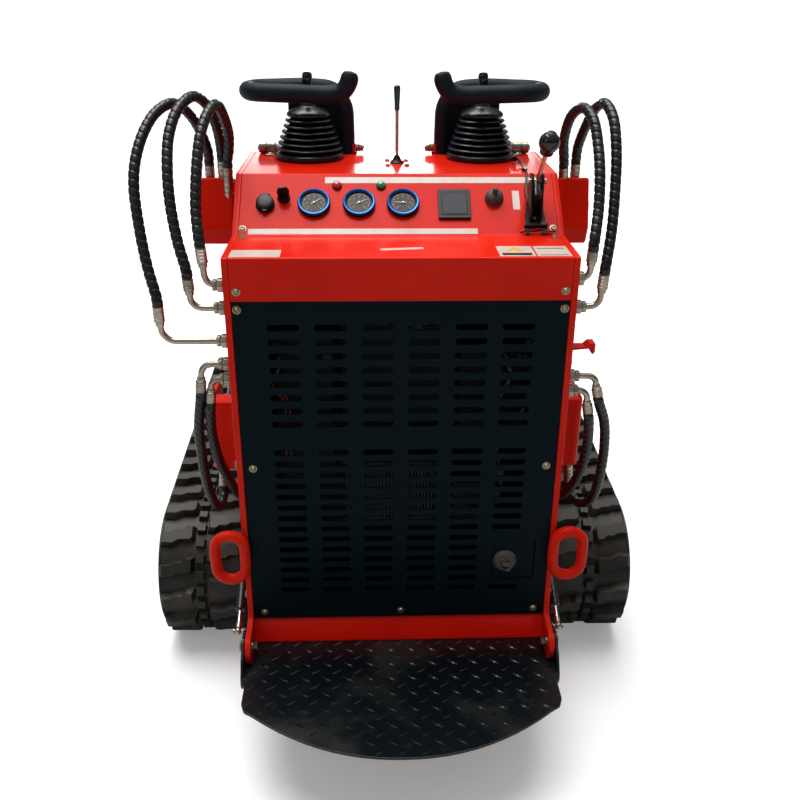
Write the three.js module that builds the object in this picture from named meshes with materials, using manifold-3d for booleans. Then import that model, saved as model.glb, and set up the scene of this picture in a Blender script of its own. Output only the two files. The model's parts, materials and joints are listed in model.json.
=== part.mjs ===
// Mini track loader: a small tracked machine driven from a platform at its rear, with loader arms,
// a bucket, an engine under a hood and a raised control console. Millimetres, +Z up, +Y forward.
import * as THREE from "three";
import { mergeVertices } from "three/addons/utils/BufferGeometryUtils.js";
import Module from "manifold-3d";

const wasm = await Module();
wasm.setup();

// ---------------------------------------------------------------- driving dimensions, mm
const GAP = 0.3;             // clearance between pieces that touch
const BODY_WIDTH = 650;      // over the two side plates
const HALF = BODY_WIDTH / 2;
const BODY_FRONT = 1080;     // front face of the body, measured from its rear edge at Y = 0
const BODY_BOTTOM = 190;     // ground clearance
const PLATE = 12;            // side plate thickness
const SHEET = 4;             // console, hood and grille sheet

const CONSOLE_HEIGHT = 1159;
const CONSOLE_RISE = 98;     // from the ledge to the console's top
const LEDGE_HEIGHT = CONSOLE_HEIGHT - CONSOLE_RISE;
const LEDGE_DEPTH = 153;
const CONSOLE_RISE_DEPTH = 115;
const CONSOLE_BACK = 540;
const APRON_HEIGHT = 82;     // strip below the ledge lip
const CROSSBAR_HEIGHT = 60;
const CROSSBAR_DEPTH = 45;
const HOOD_SILL = 884;

const TRACK_CLEAR = 40;      // from a side plate to its track
const SHOE_WIDTH = 200;
const BELT = 28;             // carcass of the rubber track
const LUG = 20;
const LUG_PITCH = 72;
const IDLER = { y: 355, z: 172, r: 172 };      // radii over the lugs
const SPROCKET = { y: 1165, z: 207, r: 180 };
const FRONT_ROLLER = { y: 1020, z: 94, r: 94 };
const ROLLER_RADIUS = 45;

const BOOM_PIVOT = [400, 1060];
const BOOM_ELBOW = [1235, 870];
const BOOM_FOOT = [1575, 200];
const BOOM_INSIDE = HALF + 17;
const BOOM_WIDTH = 70;
const LIFT_BASE = [300, 600];
const LIFT_EYE = [1000, 820];
const TILT_BASE = [1185, 640];
const TILT_LEVER = 130;

const BUCKET_DEPTH = 480;
const BUCKET_HEIGHT = 400;
const BUCKET_WALL = 8;

const PLATFORM_PIVOT = [-48, 230];
const PLATFORM_TOP = 205;
const PLATFORM_REACH = 338;  // rearmost point of its curved edge, behind the body
const PLATFORM_THICK = 6;
const SPRING_BASE = [255, 348];
const SPRING_STUD = [7, 226];

const SPRING_PLANE = HALF + 19;

const HOSE_RADIUS = 10;
const FERRULE_RADIUS = 9.5;
const ELBOW_RADIUS = 6;
const HOSE_GAP = 0.8;        // between a ferrule's end and its hose
const HOSE_STRAIGHT = 14;    // straight run of hose at each ferrule

// ---------------------------------------------------------------- materials
const material = (color, roughness, metalness = 0) =>
  new THREE.MeshStandardMaterial({ color, roughness, metalness });
const RED = material(0xd8301a, 0.32);
const BLACK = material(0x121418, 0.4);
const STEEL = material(0xb9bbbd, 0.35, 0.9);
const RUBBER = material(0x1c1b1a, 0.8);
const FOAM = material(0x1b2026, 0.75);
const BLUE = material(0x1f5fb0, 0.35, 0.4);
const CAST = material(0x33363a, 0.6, 0.5);

// ---------------------------------------------------------------- geometry helpers
const vector = (p) => new THREE.Vector3(...p);

function shapeOf(points, holes = []) {
  const shape = new THREE.Shape(points.map(([a, b]) => new THREE.Vector2(a, b)));
  shape.holes = holes.map((hole) => new THREE.Path(hole.map(([a, b]) => new THREE.Vector2(a, b))));
  return shape;
}

// Prisms: the outline is drawn in the plane square to the named axis.
function prismX(points, x0, x1, holes) {
  const geometry = new THREE.ExtrudeGeometry(shapeOf(points, holes), {
    depth: Math.abs(x1 - x0), bevelEnabled: false, curveSegments: 8,
  });
  const axes = new THREE.Matrix4().makeBasis(vector([0, 1, 0]), vector([0, 0, 1]), vector([1, 0, 0]));
  return geometry.applyMatrix4(axes).translate(Math.min(x0, x1), 0, 0);
}

function prismZ(points, z0, z1, holes) {
  const geometry = new THREE.ExtrudeGeometry(shapeOf(points, holes), {
    depth: Math.abs(z1 - z0), bevelEnabled: false, curveSegments: 8,
  });
  return geometry.translate(0, 0, Math.min(z0, z1));
}

function box(x0, x1, y0, y1, z0, z1) {
  return new THREE.BoxGeometry(Math.abs(x1 - x0), Math.abs(y1 - y0), Math.abs(z1 - z0))
    .translate((x0 + x1) / 2, (y0 + y1) / 2, (z0 + z1) / 2);
}

function rod(from, to, radius, sides = 16) {
  const a = vector(from);
  const b = vector(to);
  const along = b.clone().sub(a);
  const geometry = new THREE.CylinderGeometry(radius, radius, along.length(), sides);
  const turn = new THREE.Quaternion().setFromUnitVectors(vector([0, 1, 0]), along.normalize());
  return geometry.applyQuaternion(turn).translate(...a.add(b).multiplyScalar(0.5).toArray());
}

const axleX = (x0, x1, [y, z], radius, sides = 20) => rod([x0, y, z], [x1, y, z], radius, sides);

function polygon(radius, sides) {
  return Array.from({ length: sides }, (_, i) => {
    const angle = (2 * Math.PI * (i + 0.5)) / sides;
    return [radius * Math.cos(angle), radius * Math.sin(angle)];
  });
}

function tube(points, radius, sides, steps) {
  const path = new THREE.CatmullRomCurve3(points.map(vector));
  return new THREE.ExtrudeGeometry(shapeOf(polygon(radius, sides)), {
    steps, extrudePath: path, bevelEnabled: false,
  });
}

// A profile of [radius, height] pairs, turned about Z.
function turned(profile, sides = 20) {
  const points = profile.map(([r, h]) => new THREE.Vector2(r, h));
  return new THREE.LatheGeometry(points, sides).rotateX(Math.PI / 2);
}

function toSolid(geometry) {
  const bare = new THREE.BufferGeometry();
  bare.setAttribute("position", geometry.getAttribute("position"));
  if (geometry.index) bare.setIndex(geometry.index);
  const merged = mergeVertices(bare, 1e-3);
  return new wasm.Manifold(new wasm.Mesh({
    numProp: 3,
    vertProperties: new Float32Array(merged.getAttribute("position").array),
    triVerts: new Uint32Array(merged.index.array),
  }));
}

function toGeometry(solid) {
  const mesh = solid.getMesh();
  const geometry = new THREE.BufferGeometry();
  geometry.setAttribute("position", new THREE.BufferAttribute(new Float32Array(mesh.vertProperties), 3));
  geometry.setIndex(Array.from(mesh.triVerts));
  return geometry;
}

const join = (...pieces) => toGeometry(pieces.map(toSolid).reduce((sum, piece) => sum.add(piece)));
const cut = (body, ...tools) =>
  toGeometry(tools.map(toSolid).reduce((rest, tool) => rest.subtract(tool), toSolid(body)));

// Outline of a bar that follows a polyline, with a half width at each point and mitred corners.
function barOutline(points, halfWidths) {
  const left = [];
  const right = [];
  points.forEach(([y, z], i) => {
    const before = points[Math.max(i - 1, 0)];
    const after = points[Math.min(i + 1, points.length - 1)];
    const unit = (a, b) => {
      const length = Math.hypot(b[0] - a[0], b[1] - a[1]);
      return [(b[0] - a[0]) / length, (b[1] - a[1]) / length];
    };
    const into = i > 0 ? unit(before, [y, z]) : unit([y, z], after);
    const out = i < points.length - 1 ? unit([y, z], after) : into;
    const normal = [-(into[1] + out[1]), into[0] + out[0]];
    const scale = halfWidths[i] / ((normal[0] * -into[1] + normal[1] * into[0]));
    left.push([y + normal[0] * scale, z + normal[1] * scale]);
    right.unshift([y - normal[0] * scale, z - normal[1] * scale]);
  });
  return [...left, ...right];
}

// Points of an arc, in degrees, about a centre in the outline's plane.
function arc([cy, cz], radius, from, to, count = 6) {
  return Array.from({ length: count + 1 }, (_, i) => {
    const angle = THREE.MathUtils.degToRad(from + ((to - from) * i) / count);
    return [cy + radius * Math.cos(angle), cz + radius * Math.sin(angle)];
  });
}

// ---------------------------------------------------------------- the machine's tree of groups
const machine = new THREE.Group();

function add(name, geometry, finish, place = {}) {
  const mesh = new THREE.Mesh(geometry, finish);
  mesh.name = name;
  if (place.at) mesh.position.set(...place.at);
  if (place.turn) mesh.rotation.set(...place.turn);
  (place.in ?? machine).add(mesh);
  return mesh;
}

const SIDES = [["left", -1], ["right", 1]];
const INSIDE = HALF - PLATE - GAP;   // half width between the side plates

// ---------------------------------------------------------------- hydraulic fittings and hoses
// Each hose's bent steel elbow leaves a side plate, and its far end meets a ferrule on the boom or
// under the lift cylinder's housing. X is measured outwards from the machine's centre.
const HOSES = [
  { side: "left", name: "boom_hose_outer", boom: true,
    elbow: [[320, 20, 896], [400, 20, 896], [432, 20, 898], [446, 20, 912], [449, 20, 928]],
    start: [[449, 20, 926], [450, 22, 964]],
    points: [[466, 45, 1030], [479, 70, 1093], [488, 100, 1170], [486, 130, 1214],
      [475, 170, 1256], [458, 210, 1285], [434, 250, 1296], [412, 300, 1268], [397, 335, 1222],
      [391, 350, 1190]],
    end: [[391, 354, 1160], [391, 354, 1110]] },
  { side: "left", name: "boom_hose_middle", boom: true,
    elbow: [[320, 20, 961], [350, 20, 961], [376, 20, 963], [387, 20, 974], [389, 20, 988]],
    start: [[389, 20, 986], [391, 23, 1016]],
    points: [[407, 45, 1080], [419, 70, 1144], [424, 100, 1203], [424, 140, 1253],
      [413, 185, 1292], [392, 240, 1310], [374, 290, 1286], [365, 325, 1240], [363, 344, 1198]],
    end: [[363, 347, 1170], [363, 347, 1110]] },
  { side: "left", name: "boom_hose_inner", boom: true,
    elbow: [[320, 20, 1005], [338, 20, 1005], [353, 20, 1010], [359, 20, 1022], [360, 20, 1040]],
    start: [[360, 20, 1038], [363, 24, 1074]],
    points: [[370, 50, 1132], [369, 90, 1205], [364, 130, 1258], [355, 170, 1288],
      [345, 215, 1298], [339, 260, 1268], [338, 298, 1228], [343, 315, 1194]],
    end: [[348.5, 322.5, 1162], [351, 326, 1105]] },
  { side: "right", name: "boom_hose_inner", boom: true,
    elbow: [[320, 20, 1015], [334, 20, 1015], [343, 20, 1020], [348, 20, 1030], [348, 20, 1040]],
    start: [[348, 20, 1038], [350, 22, 1066]],
    points: [[363, 62, 1134], [368, 95, 1187], [370, 140, 1238], [366, 180, 1278],
      [356, 230, 1292], [345, 280, 1268], [343, 318, 1218], [348, 333, 1190]],
    end: [[351.5, 338.5, 1158], [354, 341, 1105]] },
  { side: "right", name: "boom_hose_outer", boom: true,
    elbow: [[320, 20, 960], [345, 20, 960], [363, 20, 963], [371, 20, 973], [373, 20, 988]],
    start: [[373, 20, 986], [376, 23, 1022]],
    points: [[391, 60, 1096], [399, 95, 1160], [404, 132, 1225], [403, 175, 1280],
      [396, 220, 1301], [389, 265, 1286], [383, 315, 1240], [379, 345, 1198]],
    end: [[379, 350, 1164], [379, 350, 1110]] },
  { side: "left", name: "lift_hose_outer",
    elbow: [[320, 20, 849], [352, 20, 849], [372, 20, 845], [380, 20, 834], [382, 20, 820]],
    start: [[382, 20, 822], [385, 20, 792]],
    points: [[399, 40, 708], [403, 60, 632], [403, 85, 552], [399, 115, 490],
      [396, 145, 458], [394, 178, 444]],
    end: [[392, 213, 472], [391, 222, 518]] },
  { side: "left", name: "lift_hose_inner",
    elbow: [[320, 20, 818], [345, 20, 818], [358, 20, 814], [364, 20, 806], [365, 20, 796]],
    start: [[365, 20, 798], [368, 20, 770]],
    points: [[375, 42, 694], [371, 70, 617], [361, 115, 543], [354, 165, 480],
      [353, 212, 450]],
    end: [[353, 257, 482], [353, 268, 518]] },
  { side: "right", name: "lift_hose_outer",
    elbow: [[320, 20, 819], [352, 20, 819], [370, 20, 817], [379, 20, 809], [381, 20, 798]],
    start: [[381, 20, 800], [387, 20, 776]],
    points: [[411, 40, 710], [423, 60, 640], [426, 80, 560], [423, 105, 495],
      [415, 135, 462], [402, 176, 445]],
    end: [[393, 213, 472], [391, 222, 518]] },
  { side: "right", name: "lift_hose_inner",
    elbow: [[320, 20, 789], [345, 20, 789], [358, 20, 785], [365, 20, 776], [366, 20, 764]],
    start: [[366, 20, 766], [371, 20, 740]],
    points: [[383, 45, 654], [382, 75, 579], [372, 112, 512], [361, 160, 468],
      [355, 212, 449]],
    end: [[353, 257, 482], [353, 268, 518]] },
];

// A hose leaves each ferrule in line with it.
function hoseRoute({ start, points, end }) {
  const beyond = (from, to, distance) => {
    const along = vector(to).sub(vector(from)).normalize();
    return vector(to).addScaledVector(along, distance).toArray();
  };
  return [
    beyond(...start, HOSE_GAP), beyond(...start, HOSE_STRAIGHT), ...points,
    beyond(end[1], end[0], HOSE_STRAIGHT), beyond(end[1], end[0], HOSE_GAP),
  ];
}

// The points were laid out round a body this wide to each side of its middle.
const HOSES_LAID_FOR = 325;
const outward = (sign, points) =>
  points.map(([x, y, z]) => [sign * (x + HALF - HOSES_LAID_FOR), y, z]);

function fittings(side, sign, onBoom) {
  const mine = HOSES.filter((hose) => hose.side === side);
  if (onBoom) {
    return mine.filter((hose) => hose.boom)
      .map((hose) => rod(...outward(sign, hose.end), FERRULE_RADIUS, 10));
  }
  return mine.flatMap((hose) => [
    tube(outward(sign, hose.elbow), ELBOW_RADIUS, 6, 6),
    rod(...outward(sign, hose.start), FERRULE_RADIUS, 10),
    ...(hose.boom ? [] : [rod(...outward(sign, hose.end), FERRULE_RADIUS, 10)]),
  ]);
}

for (const [side, sign] of SIDES) {
  for (const hose of HOSES.filter((each) => each.side === side)) {
    add(`${side}_${hose.name}`, tube(outward(sign, hoseRoute(hose)), HOSE_RADIUS, 8, 18), RUBBER);
  }
}

// ---------------------------------------------------------------- body
const HOUSING_OUT = HALF + 85;     // outer face of the lift cylinder's housing

function sidePlate(side, sign) {
  const [py, pz] = PLATFORM_PIVOT;
  const lobe = arc([py, pz], 36, 120, 270, 8);
  const profile = [
    [0, LEDGE_HEIGHT], [0, pz + 36], ...lobe, [py + 30, BODY_BOTTOM], [1240, BODY_BOTTOM],
    [1240, 330], [BODY_FRONT, 420], [BODY_FRONT, HOOD_SILL - GAP], [CONSOLE_BACK, HOOD_SILL - GAP],
    [CONSOLE_BACK, CONSOLE_HEIGHT], [LEDGE_DEPTH + CONSOLE_RISE_DEPTH, CONSOLE_HEIGHT],
    [LEDGE_DEPTH, LEDGE_HEIGHT],
  ];
  const plate = prismX(profile.reverse(), sign * (HALF - PLATE), sign * HALF);
  const [by, bz] = LIFT_BASE;
  const housing = [
    box(sign * HALF - sign, sign * HOUSING_OUT, by - 90, by - 80, bz - 85, bz + 80),
    box(sign * HALF - sign, sign * HOUSING_OUT, by - 80.5, by - 20, bz - 85, bz - 77),
    box(sign * HALF - sign, sign * HOUSING_OUT, by - 80.5, by - 45, bz + 72, bz + 80),
    box(sign * (HOUSING_OUT - 8), sign * HOUSING_OUT, by - 80.5, by + 60, bz - 85, bz + 80),
  ];
  const boss = axleX(sign * (HALF - 1), sign * (BOOM_INSIDE - GAP - 6), BOOM_PIVOT, 45);
  return join(plate, ...housing, boss, ...fittings(side, sign, false));
}

function consoleHousing() {
  const slope = LEDGE_DEPTH + CONSOLE_RISE_DEPTH;
  const outer = [
    [0, LEDGE_HEIGHT - APRON_HEIGHT], [0, LEDGE_HEIGHT], [LEDGE_DEPTH, LEDGE_HEIGHT],
    [slope, CONSOLE_HEIGHT], [CONSOLE_BACK, CONSOLE_HEIGHT], [CONSOLE_BACK, CONSOLE_HEIGHT - 90],
  ];
  const inner = [
    [CONSOLE_BACK - SHEET, CONSOLE_HEIGHT - 90], [CONSOLE_BACK - SHEET, CONSOLE_HEIGHT - SHEET],
    [slope + 1.5, CONSOLE_HEIGHT - SHEET], [LEDGE_DEPTH + 1.5, LEDGE_HEIGHT - SHEET],
    [SHEET, LEDGE_HEIGHT - SHEET], [SHEET, LEDGE_HEIGHT - APRON_HEIGHT],
  ];
  return prismX([...outer, ...inner].reverse(), -INSIDE, INSIDE);
}

const CROSSBAR_BOTTOM = BODY_BOTTOM + 10;
const CROSSBAR_WALL = 6;
const GRILLE = {
  bottom: CROSSBAR_BOTTOM + CROSSBAR_HEIGHT + 2,
  columns: 6, columnPitch: 88, slotWidth: 61, slotHeight: 13,
  upper: { rows: 8, top: 926, pitch: 28.5 }, lower: { rows: 14, top: 664, pitch: 25.3 },
  window: { x: 240, z: 405, width: 90, height: 100 },
};

function grille() {
  const { window: hole } = GRILLE;
  const slots = [];
  for (const block of [GRILLE.upper, GRILLE.lower]) {
    for (let row = 0; row < block.rows; row++) {
      for (let column = 0; column < GRILLE.columns; column++) {
        const x = (column - (GRILLE.columns - 1) / 2) * GRILLE.columnPitch;
        const z = block.top - row * block.pitch;
        const clear = Math.abs(x - hole.x) > (hole.width + GRILLE.slotWidth) / 2
          || Math.abs(z - hole.z) > (hole.height + GRILLE.slotHeight) / 2 + 4;
        if (clear) slots.push(opening(x, z, GRILLE.slotWidth, GRILLE.slotHeight));
      }
    }
  }
  slots.push(opening(hole.x, hole.z, hole.width, hole.height));
  const top = LEDGE_HEIGHT - APRON_HEIGHT - GAP;
  return cut(box(-INSIDE, INSIDE, SHEET, 2 * SHEET, GRILLE.bottom, top), ...slots);
}

function opening(x, z, width, height) {
  return box(x - width / 2, x + width / 2, 0, 3 * SHEET, z - height / 2, z + height / 2);
}

function crossbar() {
  const z0 = CROSSBAR_BOTTOM;
  const z1 = z0 + CROSSBAR_HEIGHT;
  const wall = CROSSBAR_WALL;
  const channel = [
    [0, z0], [CROSSBAR_DEPTH, z0], [CROSSBAR_DEPTH, z0 + wall], [wall, z0 + wall],
    [wall, z1 - wall], [CROSSBAR_DEPTH, z1 - wall], [CROSSBAR_DEPTH, z1], [0, z1],
  ];
  return prismX(channel, -INSIDE, INSIDE);
}

for (const [side, sign] of SIDES) add(`${side}_side_plate`, sidePlate(side, sign), RED);
add("console_housing", consoleHousing(), RED);
add("rear_grille", grille(), BLACK);
add("rear_crossbar", crossbar(), RED);
const BELLY_TOP = BODY_BOTTOM + 6;
add("belly_plate", box(-INSIDE, INSIDE, 60, BODY_FRONT - 10, BODY_BOTTOM, BELLY_TOP), RED);
add("front_bulkhead",
  box(-INSIDE, INSIDE, BODY_FRONT - 8, BODY_FRONT, BELLY_TOP + GAP, HOOD_SILL - 10), RED);

const ENGINE = {
  x: 180, y0: BODY_FRONT - 470, y1: BODY_FRONT - 120, z0: 380, z1: 830, footInset: 40, footRadius: 20,
};
function engine() {
  const rows = [ENGINE.y0 + ENGINE.footInset, ENGINE.y1 - ENGINE.footInset];
  const feet = [-1, 1].flatMap((sign) => rows.map((y) => {
    const x = sign * (ENGINE.x - ENGINE.footInset);
    return rod([x, y, BELLY_TOP + GAP], [x, y, ENGINE.z0 + 1], ENGINE.footRadius, 8);
  }));
  return join(box(-ENGINE.x, ENGINE.x, ENGINE.y0, ENGINE.y1, ENGINE.z0, ENGINE.z1), ...feet);
}
add("engine_block", engine(), CAST);

// ---------------------------------------------------------------- hood
const HOOD_HINGE = [506, CONSOLE_HEIGHT + 13.5];
const HINGE_RADIUS = 12;
const HOOD = { rear: CONSOLE_BACK + 6, rearTop: CONSOLE_HEIGHT - 8, frontTop: CONSOLE_HEIGHT - 89, brow: 60 };

// The hood's side view, or the space inside it, which runs on past its open rear and bottom.
function hoodProfile(inset = 0) {
  const past = inset ? 20 : 0;
  const rear = HOOD.rear - past;
  const front = BODY_FRONT - inset;
  const top = HOOD.frontTop - inset;
  return [
    [rear, HOOD_SILL - past], [rear, HOOD.rearTop - inset], [front - HOOD.brow, top],
    [front - HOOD.brow * 0.35, top - HOOD.brow * 0.3], [front, top - HOOD.brow], [front, HOOD_SILL - past],
  ].reverse();
}

function hood() {
  const shell = cut(
    prismX(hoodProfile(), -HALF, HALF),
    prismX(hoodProfile(SHEET), SHEET - HALF, HALF - SHEET),
  );
  const [hy, hz] = HOOD_HINGE;
  const strap = [
    [hy, hz - HINGE_RADIUS + GAP], [CONSOLE_BACK - 8, CONSOLE_HEIGHT + 3.5],
    [CONSOLE_BACK + 3, CONSOLE_HEIGHT + 1], [HOOD.rear + 14, HOOD.rearTop - 5],
    [HOOD.rear + 20, HOOD.rearTop - 1], [CONSOLE_BACK + 3, CONSOLE_HEIGHT + 6],
    [CONSOLE_BACK - 8, CONSOLE_HEIGHT + 7.5], [hy, hz - HINGE_RADIUS + 5],
  ];
  const hinges = [-1, 1].flatMap((sign) => [
    axleX(sign * 249, sign * 303, HOOD_HINGE, HINGE_RADIUS, 16),
    prismX(strap, sign * 262, sign * 290),
  ]);
  return join(shell, ...hinges);
}
add("engine_hood", hood(), RED);

// ---------------------------------------------------------------- console controls
// Places on the sloping instrument panel: along X, up the slope from its foot, and off its surface.
const PANEL_LENGTH = Math.hypot(CONSOLE_RISE_DEPTH, CONSOLE_RISE);
const PANEL_ANGLE = Math.atan2(CONSOLE_RISE, CONSOLE_RISE_DEPTH);
const panel = new THREE.Group();
panel.position.set(0, LEDGE_DEPTH, LEDGE_HEIGHT);
panel.rotation.x = PANEL_ANGLE;
machine.add(panel);

const GAUGE_RADIUS = 32.5;
const gauge = () => turned([[0, GAP], [26, GAP], [26, 2], [GAUGE_RADIUS, 2], [GAUGE_RADIUS, 10], [29, 12],
  [28, 8], [0, 8]], 20);
[["left", -167], ["middle", -78], ["right", 9]].forEach(([name, x]) =>
  add(`${name}_gauge`, gauge(), BLUE, { in: panel, at: [x, 75, 0] }));
add("hour_meter", box(-32, 32, -35, 35, GAP, 6), BLACK, { in: panel, at: [110.5, 73, 0] });
add("power_socket", turned([[0, GAP], [19, GAP], [19, 5], [15, 8], [14, 16], [0, 17]]), BLACK,
  { in: panel, at: [-263, 74, 0] });
add("ignition_switch", join(turned([[0, GAP], [13, GAP], [13, 6], [9, 9], [0, 9]]),
  box(-2, 2, -9, 9, 8, 34)), BLACK, { in: panel, at: [-227, 90, 0] });
add("rubber_cap_switch", turned([[0, GAP], [18, GAP], [18, 6], [15, 16], [6, 18], [5, 34], [0, 34]]), BLACK,
  { in: panel, at: [191, 88, 0] });
[["red", -122], ["green", -34]].forEach(([name, x]) =>
  add(`${name}_warning_lamp`, turned([[0, GAP], [8.5, GAP], [8.5, 4], [6, 7], [0, 8]], 14), RED,
    { in: panel, at: [x, 120, 0] }));

const BALL = [283, 112, 137];
add("ball_lever", join(
  box(254, 282, 22, 84, GAP, 28),
  rod([268, 60, 26], BALL, 5, 8),
  new THREE.SphereGeometry(20, 12, 8).translate(...BALL),
), BLACK, { in: panel });

const JOYSTICK = { x: 187, y: 448, tip: 1338 };
const JOYSTICK_PROFILE = [
  [0, 0], [74, 0], [74, 14], [66, 18], [71, 26], [60, 32], [66, 41], [54, 47], [60, 56], [49, 62],
  [54, 71], [44, 77], [48, 87], [40, 98], [14, 111], [11, 113], [11, 168], [9, 176], [0, 179],
];
for (const [side, sign] of SIDES) {
  add(`${side}_joystick`, turned(JOYSTICK_PROFILE, 16), RUBBER,
    { at: [sign * JOYSTICK.x, JOYSTICK.y, CONSOLE_HEIGHT + GAP] });
}

add("throttle_lever", join(
  turned([[0, 0], [15, 0], [13, 8], [0, 9]], 14),
  rod([0, 0, 4], [0, 4, 120], 3.5, 10),
  rod([0, 4, 112], [0, 6, 158], 6, 10),
), BLACK, { at: [2, 388, CONSOLE_HEIGHT + GAP] });

// ---------------------------------------------------------------- foam hand loops
const LOOP_TUBE = 19;
const LOOP_RISE = 141;       // from the console to the middle of the loop's bar
function handLoop(sign) {
  const rise = LOOP_RISE;
  const points = [
    [108, 511, GAP], [108, 511, rise - 85], [112, 509, rise - 38], [135, 506, rise - 7],
    [180, 505, rise + 1], [262, 505, rise], [298, 489, rise], [313, 450, rise], [298, 411, rise],
    [262, 396, rise], [190, 395, rise - 2], [135, 394, rise - 3], [110, 391, rise + 4],
    [97, 388, rise + 22], [94, 387, rise + 30],
  ].map(([x, y, z]) => [sign * x, y, CONSOLE_HEIGHT + z]);
  const frame = tube(points, LOOP_TUBE, 8, 34);
  const top = CONSOLE_HEIGHT + rise;
  const bracket = box(sign * 112, sign * 236, 527, 531, CONSOLE_HEIGHT + GAP, top - 10);
  return join(frame, bracket, box(sign * 112, sign * 236, 512, 531, top - 14, top - 8));
}
for (const [side, sign] of SIDES) add(`${side}_hand_loop`, handLoop(sign), FOAM);

// ---------------------------------------------------------------- battery isolator, tie-down rings
add("battery_isolator", join(
  box(GRILLE.window.x - 44, GRILLE.window.x + 44, 2 * SHEET + GAP, 2 * SHEET + 4, 350, 460),
  rod([222, 2 * SHEET + 3, 401], [222, -8, 401], 22, 16),
  box(219, 225, -26, -6, 384, 418),
), BLACK);

const RING = { x: HALF + 25, z: 429, width: 82, height: 128, bar: 11 };
function ring(sign) {
  const reach = RING.width / 2 - RING.bar;
  const rise = RING.height / 2 - RING.bar - reach;
  const y = -RING.bar - GAP;
  const arcPoints = [...arc([0, rise], reach, 0, 180, 8), ...arc([0, -rise], reach, 180, 360, 8)];
  const corners = arcPoints.map(([x, z]) => vector([sign * RING.x + x, y, RING.z + z]));
  const path = new THREE.CatmullRomCurve3(corners, true, "centripetal");
  return new THREE.ExtrudeGeometry(shapeOf(polygon(RING.bar, 8)), {
    steps: 20, extrudePath: path, bevelEnabled: false,
  });
}
for (const [side, sign] of SIDES) add(`${side}_tie_down_ring`, ring(sign), RED);

// ---------------------------------------------------------------- tracks
const TRACK_INSIDE = HALF + TRACK_CLEAR;
const BELT_STEP = 30;        // length of a facet of the belt round a wheel

// Convex outline round three wheels, walked anticlockwise as seen from +X.
function beltPath(inset) {
  const wheels = [FRONT_ROLLER, SPROCKET, IDLER].map((wheel) => ({ ...wheel, r: wheel.r - inset }));
  const stations = [];
  wheels.forEach((wheel, i) => {
    const next = wheels[(i + 1) % wheels.length];
    const dy = next.y - wheel.y;
    const dz = next.z - wheel.z;
    const span = Math.hypot(dy, dz);
    const leave = Math.atan2(dz, dy) - Math.PI / 2 + Math.asin((wheel.r - next.r) / span);
    stations.push({ wheel, leave });
  });
  const outline = [];
  stations.forEach((station, i) => {
    const before = stations[(i + stations.length - 1) % stations.length];
    const { wheel } = station;
    const from = before.leave;
    let to = station.leave;
    while (to < from) to += 2 * Math.PI;
    const count = Math.max(2, Math.ceil(((to - from) * wheel.r) / BELT_STEP));
    for (let k = 0; k <= count; k++) {
      const angle = from + ((to - from) * k) / count;
      outline.push({
        point: [wheel.y + wheel.r * Math.cos(angle), wheel.z + wheel.r * Math.sin(angle)],
        normal: [Math.cos(angle), Math.sin(angle)],
      });
    }
  });
  return outline;
}

function walk(outline, distance) {
  let left = distance;
  for (let i = 0; i < outline.length; i++) {
    const a = outline[i];
    const b = outline[(i + 1) % outline.length];
    const length = Math.hypot(b.point[0] - a.point[0], b.point[1] - a.point[1]);
    if (left <= length) {
      const t = length ? left / length : 0;
      const mix = (p, q) => [p[0] + (q[0] - p[0]) * t, p[1] + (q[1] - p[1]) * t];
      return { point: mix(a.point, b.point), normal: mix(a.normal, b.normal) };
    }
    left -= length;
  }
  return outline[0];
}

const girth = (outline) => outline.reduce((sum, { point }, i) => {
  const next = outline[(i + 1) % outline.length].point;
  return sum + Math.hypot(next[0] - point[0], next[1] - point[1]);
}, 0);

function track(sign) {
  const base = beltPath(LUG);
  const length = girth(base);
  const count = Math.round(length / LUG_PITCH);
  const pitch = length / count;
  const tread = [];
  for (let i = 0; i < count; i++) {
    for (const [share, height] of [[0.02, 0], [0.1, LUG], [0.62, LUG], [0.7, 0]]) {
      const { point, normal } = walk(base, (i + share) * pitch);
      tread.push([point[0] + normal[0] * height, point[1] + normal[1] * height]);
    }
  }
  const inner = beltPath(LUG + BELT).map(({ point }) => point);
  return prismX(tread, sign * TRACK_INSIDE, sign * (TRACK_INSIDE + SHOE_WIDTH), [inner]);
}

const TRACK_MID = TRACK_INSIDE + SHOE_WIDTH / 2;
const INNER = LUG + BELT + 1.8;     // from the lug tips to a wheel's rim

function trackFrame(sign) {
  const x = (offset) => sign * (TRACK_MID + offset);
  const rollers = [545, 703, 861, FRONT_ROLLER.y].map((y) =>
    axleX(x(-62), x(62), [y, LUG + BELT + ROLLER_RADIUS + 1], ROLLER_RADIUS, 16));
  const beam = box(x(-75), x(75), 490, 1015, 105, 185);
  const arms = [-1, 1].map((end) => box(x(end * 66), x(end * 75), IDLER.y - 25, 495, 148, 184));
  const ties = [520, 900].map((y) => box(sign * (HALF + GAP), x(-60), y, y + 90, 110, 180));
  const carrier = [box(x(-10), x(10), 750, 780, 180, 300), axleX(x(-50), x(50), [765, 290], 24, 14)];
  return join(beam, ...rollers, ...arms, ...ties, ...carrier);
}

function idler() {
  const rim = IDLER.r - INNER;
  return turned([[0, -60], [28, -60], [28, -50], [rim - 18, -50], [rim, -46], [rim, -18], [rim - 22, -12],
    [rim - 22, 12], [rim, 18], [rim, 46], [rim - 18, 50], [28, 50], [28, 60], [0, 60]], 20)
    .rotateY(Math.PI / 2);
}

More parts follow.
